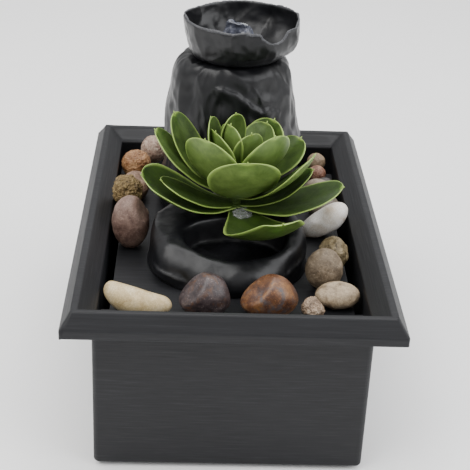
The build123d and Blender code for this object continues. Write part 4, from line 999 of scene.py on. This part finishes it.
# facets: flats worn on a stone, each (direction, how far out it stands, 1 being the skin);
# taper: how much lower and narrower it gets towards its right end, or its left below zero;
# blunt: how much thickness it keeps towards its ends; rough: how deep its crags are
STONES = {
    "pebble_cream": dict(
        facets=[((-0.9, 0, -0.3), 0.93), ((0, -0.5, 0.86), 0.93)], lumps=0.04, taper=0.34, blunt=0.5,
        look=stone("cream", (0.36, 0.25, 0.11), (0.56, 0.44, 0.24), (0.70, 0.60, 0.40), 10,
                   rough=0.5, pits=0.05)),
    "pebble_plum": dict(
        facets=[((-0.80, -0.12, 0.58), 0.60), ((0.97, 0, 0.22), 0.88)], lumps=0.05,
        look=stone("plum", (0.020, 0.014, 0.015), (0.050, 0.036, 0.037), (0.105, 0.078, 0.074), 5,
                   speckle=0.8, vein=(0.085, 0.040, 0.020), rough=0.42)),
    "pebble_agate": dict(
        facets=[((-0.76, -0.1, 0.64), 0.58), ((0.90, -0.1, 0.42), 0.88)], lumps=0.05,
        look=stone("agate", (0.040, 0.018, 0.014), (0.125, 0.050, 0.020), (0.32, 0.155, 0.055), 7,
                   vein=(0.075, 0.062, 0.062), rough=0.38)),
    "pebble_chip": dict(
        facets=[((0.8, 0, 0.6), 0.66), ((-0.2, -0.6, 0.77), 0.74)], lumps=0.20, rough=0.07,
        look=stone("chip", (0.10, 0.06, 0.035), (0.34, 0.24, 0.16), (0.60, 0.48, 0.36), 3.5,
                   vein=(0.060, 0.036, 0.022), rough=0.6, pits=0.3)),
    "pebble_beige": dict(
        facets=[((-0.3, -0.2, 0.93), 0.86)], lumps=0.06, rough=0.006,
        look=stone("beige", (0.20, 0.145, 0.085), (0.36, 0.275, 0.18), (0.50, 0.40, 0.28), 6,
                   vein=(0.11, 0.075, 0.045), rough=0.55)),
    "pebble_grey_egg": dict(
        facets=[((0.6, -0.2, 0.77), 0.88)], lumps=0.05, rough=0.010,
        look=stone("grey_egg", (0.090, 0.064, 0.040), (0.165, 0.122, 0.078), (0.26, 0.20, 0.135), 3,
                   speckle=0.35, rough=0.6)),
    "pebble_knobbly": dict(
        facets=[((-0.5, -0.3, 0.8), 0.80), ((0.8, -0.3, 0.5), 0.86)], lumps=0.16, rough=0.016,
        look=stone("knobbly", (0.085, 0.062, 0.028), (0.205, 0.155, 0.080), (0.34, 0.27, 0.155), 4,
                   vein=(0.050, 0.034, 0.014), rough=0.55)),
    "pebble_white": dict(
        facets=[((-0.35, -0.45, 0.82), 0.84), ((0.4, -0.3, -0.8), 0.84)], lumps=0.05, taper=-0.30,
        look=stone("white", (0.62, 0.50, 0.36), (0.84, 0.80, 0.74), (0.90, 0.89, 0.87), 12,
                   rough=0.36, pits=0.04)),
    "pebble_mauve": dict(
        facets=[((0.7, -0.2, 0.68), 0.86)], lumps=0.05, rough=0.008,
        look=stone("mauve", (0.100, 0.056, 0.044), (0.19, 0.118, 0.092), (0.30, 0.205, 0.160), 8,
                   speckle=0.3, rough=0.55)),
    "pebble_lava": dict(
        facets=[], lumps=0.22, rough=0.085,
        look=stone("lava", (0.055, 0.032, 0.010), (0.19, 0.125, 0.045), (0.40, 0.29, 0.13), 3.2,
                   rough=0.7, pits=0.5)),
    "pebble_speckled": dict(
        facets=[((0.2, -0.4, 0.9), 0.90)], lumps=0.08, rough=0.035,
        look=stone("speckled", (0.115, 0.045, 0.016), (0.27, 0.125, 0.045), (0.46, 0.27, 0.13), 3.6,
                   speckle=0.5, rough=0.55, pits=0.25)),
    "pebble_granite": dict(
        facets=[((-0.3, -0.3, 0.9), 0.88)], lumps=0.08, rough=0.025,
        look=stone("granite", (0.145, 0.085, 0.062), (0.31, 0.21, 0.155), (0.50, 0.39, 0.31), 3,
                   speckle=0.5, rough=0.6)),
    "pebble_tan_small": dict(
        facets=[((0.4, -0.2, 0.9), 0.86)], lumps=0.08, rough=0.01,
        look=stone("tan_small", (0.14, 0.09, 0.052), (0.26, 0.185, 0.115), (0.41, 0.32, 0.21), 4,
                   rough=0.55)),
    "pebble_red_small": dict(
        facets=[((-0.4, -0.2, 0.9), 0.84)], lumps=0.09, rough=0.02,
        look=stone("red_small", (0.11, 0.042, 0.026), (0.25, 0.115, 0.070), (0.42, 0.25, 0.16), 3.4,
                   speckle=0.4, rough=0.55)),
    "pebble_dark_small": dict(
        facets=[((0.1, -0.2, 0.97), 0.84)], lumps=0.08,
        look=stone("dark_small", (0.020, 0.016, 0.014), (0.050, 0.042, 0.038), (0.11, 0.095, 0.085), 4,
                   speckle=0.4, rough=0.5)),
    "pebble_under_a": dict(
        facets=[], lumps=0.08,
        look=stone("under_a", (0.10, 0.068, 0.042), (0.20, 0.148, 0.096), (0.32, 0.25, 0.17), 4)),
    "pebble_under_b": dict(
        facets=[((0.5, -0.2, 0.85), 0.86)], lumps=0.10, rough=0.02,
        look=stone("under_b", (0.115, 0.058, 0.035), (0.24, 0.145, 0.095), (0.38, 0.27, 0.19), 5,
                   speckle=0.3)),
    "pebble_under_c": dict(
        facets=[((-0.4, -0.2, 0.9), 0.86)], lumps=0.08,
        look=stone("under_c", (0.085, 0.068, 0.052), (0.17, 0.142, 0.112), (0.28, 0.245, 0.20), 5,
                   speckle=0.3)),
    "pebble_under_d": dict(
        facets=[((0.3, 0.2, 0.93), 0.86)], lumps=0.08,
        look=stone("under_d", (0.14, 0.105, 0.072), (0.26, 0.205, 0.148), (0.41, 0.34, 0.26), 5)),
}


def build_pebble(node, facets, lumps, look, rough=0.0, taper=0.0, blunt=0.0):
    """A stone: worn flats, slow lumps and, on a craggy one, pits. It stays in its CAD shape."""
    shape = node_bmesh(node)
    skin = BVHTree.FromBMesh(shape)
    low, high = box_mm(node)
    shape.free()
    middle = (low + high) / 2
    half = (high - low) / 2
    seed = Vector((middle.x * 0.37, middle.y * 0.21, 3.0))
    mesh = bmesh.new()
    bmesh.ops.create_icosphere(mesh, subdivisions=6 if rough else 5, radius=1.0)
    for vert in mesh.verts:
        way = vert.co.normalized()
        reach = skin.ray_cast(middle, way)[3]
        if reach is None:   # the ray slipped between two faces
            reach = skin.ray_cast(middle, way + Vector((1e-3, 2e-3, 1e-3)))[3]
        share = 1.0
        for direction, out in facets:
            lean = way.dot(Vector(direction).normalized())
            if lean > out:
                share *= 1 - FLAT_CUT * (1 - out / lean)
        share *= 1 - lumps * (0.5 + 0.5 * noise.fractal(way * 1.7 + seed, 1.0, 2.0, 3))
        if rough:
            share *= 1 - rough * (1 + noise.fractal(way * 9 + seed, 0.7, 2.1, 4))
            share *= 1 - 1.6 * rough * max(0.0, noise.noise(way * 5 + seed * 2) - 0.15)
        place = middle + way * reach * share
        along = (place.x - middle.x) / half.x
        # a blunt stone keeps its thickness towards its ends; a tapered one loses it to one side
        swell = 1 + blunt * abs(along) ** 3
        narrow = 1 - abs(taper) * smooth(-1, 1, along if taper > 0 else -along)
        place.y = middle.y + (place.y - middle.y) * swell * narrow
        place.z = low.z + (place.z - low.z) * min(swell, MAX_SWELL) * narrow
        vert.co = place
    relax(mesh, 1 if rough else 5)
    # it comes down on its worn underside
    drop = min(vert.co.z for vert in mesh.verts) - low.z + STONE_SINK
    for vert in mesh.verts:
        vert.co.z = max(vert.co.z - drop, low.z)
    add_piece(node.replace("pebble", "stone"), mesh, node, look)


# ---------------------------------------------------------------- pump and small parts
def dress(node, material):
    """Gives a CAD piece its finish."""
    piece = frame["nodes"][node]
    piece.data.materials.clear()
    piece.data.materials.append(material)


def build_works():
    """The pump and the rubber parts keep their CAD shapes, with real finishes."""
    rubber = moulded("black_rubber", (0.012, 0.012, 0.012), 0.75, 0.10)
    casing = moulded("pump_plastic", (0.014, 0.014, 0.0155), 0.46)
    bush = moulded("bush_rubber", (0.03, 0.03, 0.03), 0.8)
    for node in ("foot_pads", "cord_grommet", "suction_cups", "pump_gland"):
        dress(node, rubber)
    for node in ("pump_body", "pump_volute", "intake_grille"):
        dress(node, casing)
    for node in ("shaft_bush_front", "shaft_bush_rear"):
        dress(node, bush)
    dress("flow_regulator", moulded("regulator_plastic", (0.06, 0.06, 0.065), 0.5))
    dress("motor_potting", moulded("potting_resin", (0.010, 0.010, 0.011), 0.2, 0.02))
    dress("impeller", moulded("impeller_plastic", (0.66, 0.67, 0.67), 0.45))
    dress("rotor_shaft", ground_ceramic("shaft_ceramic", (0.84, 0.83, 0.80), 0.22))
    dress("rotor_magnet", ground_ceramic("ferrite_magnet", (0.055, 0.055, 0.06), 0.55))
    dress("stator_core", lamination_steel())
    dress("stator_coils", copper_winding())
    dress("riser_tube", clear_hose())


charcoal = charcoal_plastic()
stage()
build_trough(charcoal)
dress("pebble_deck", charcoal)
build_rock()
build_bowl()
build_nozzle()
build_plant()
build_glue()
for pebble, spec in STONES.items():
    build_pebble(pebble, **spec)
build_works()
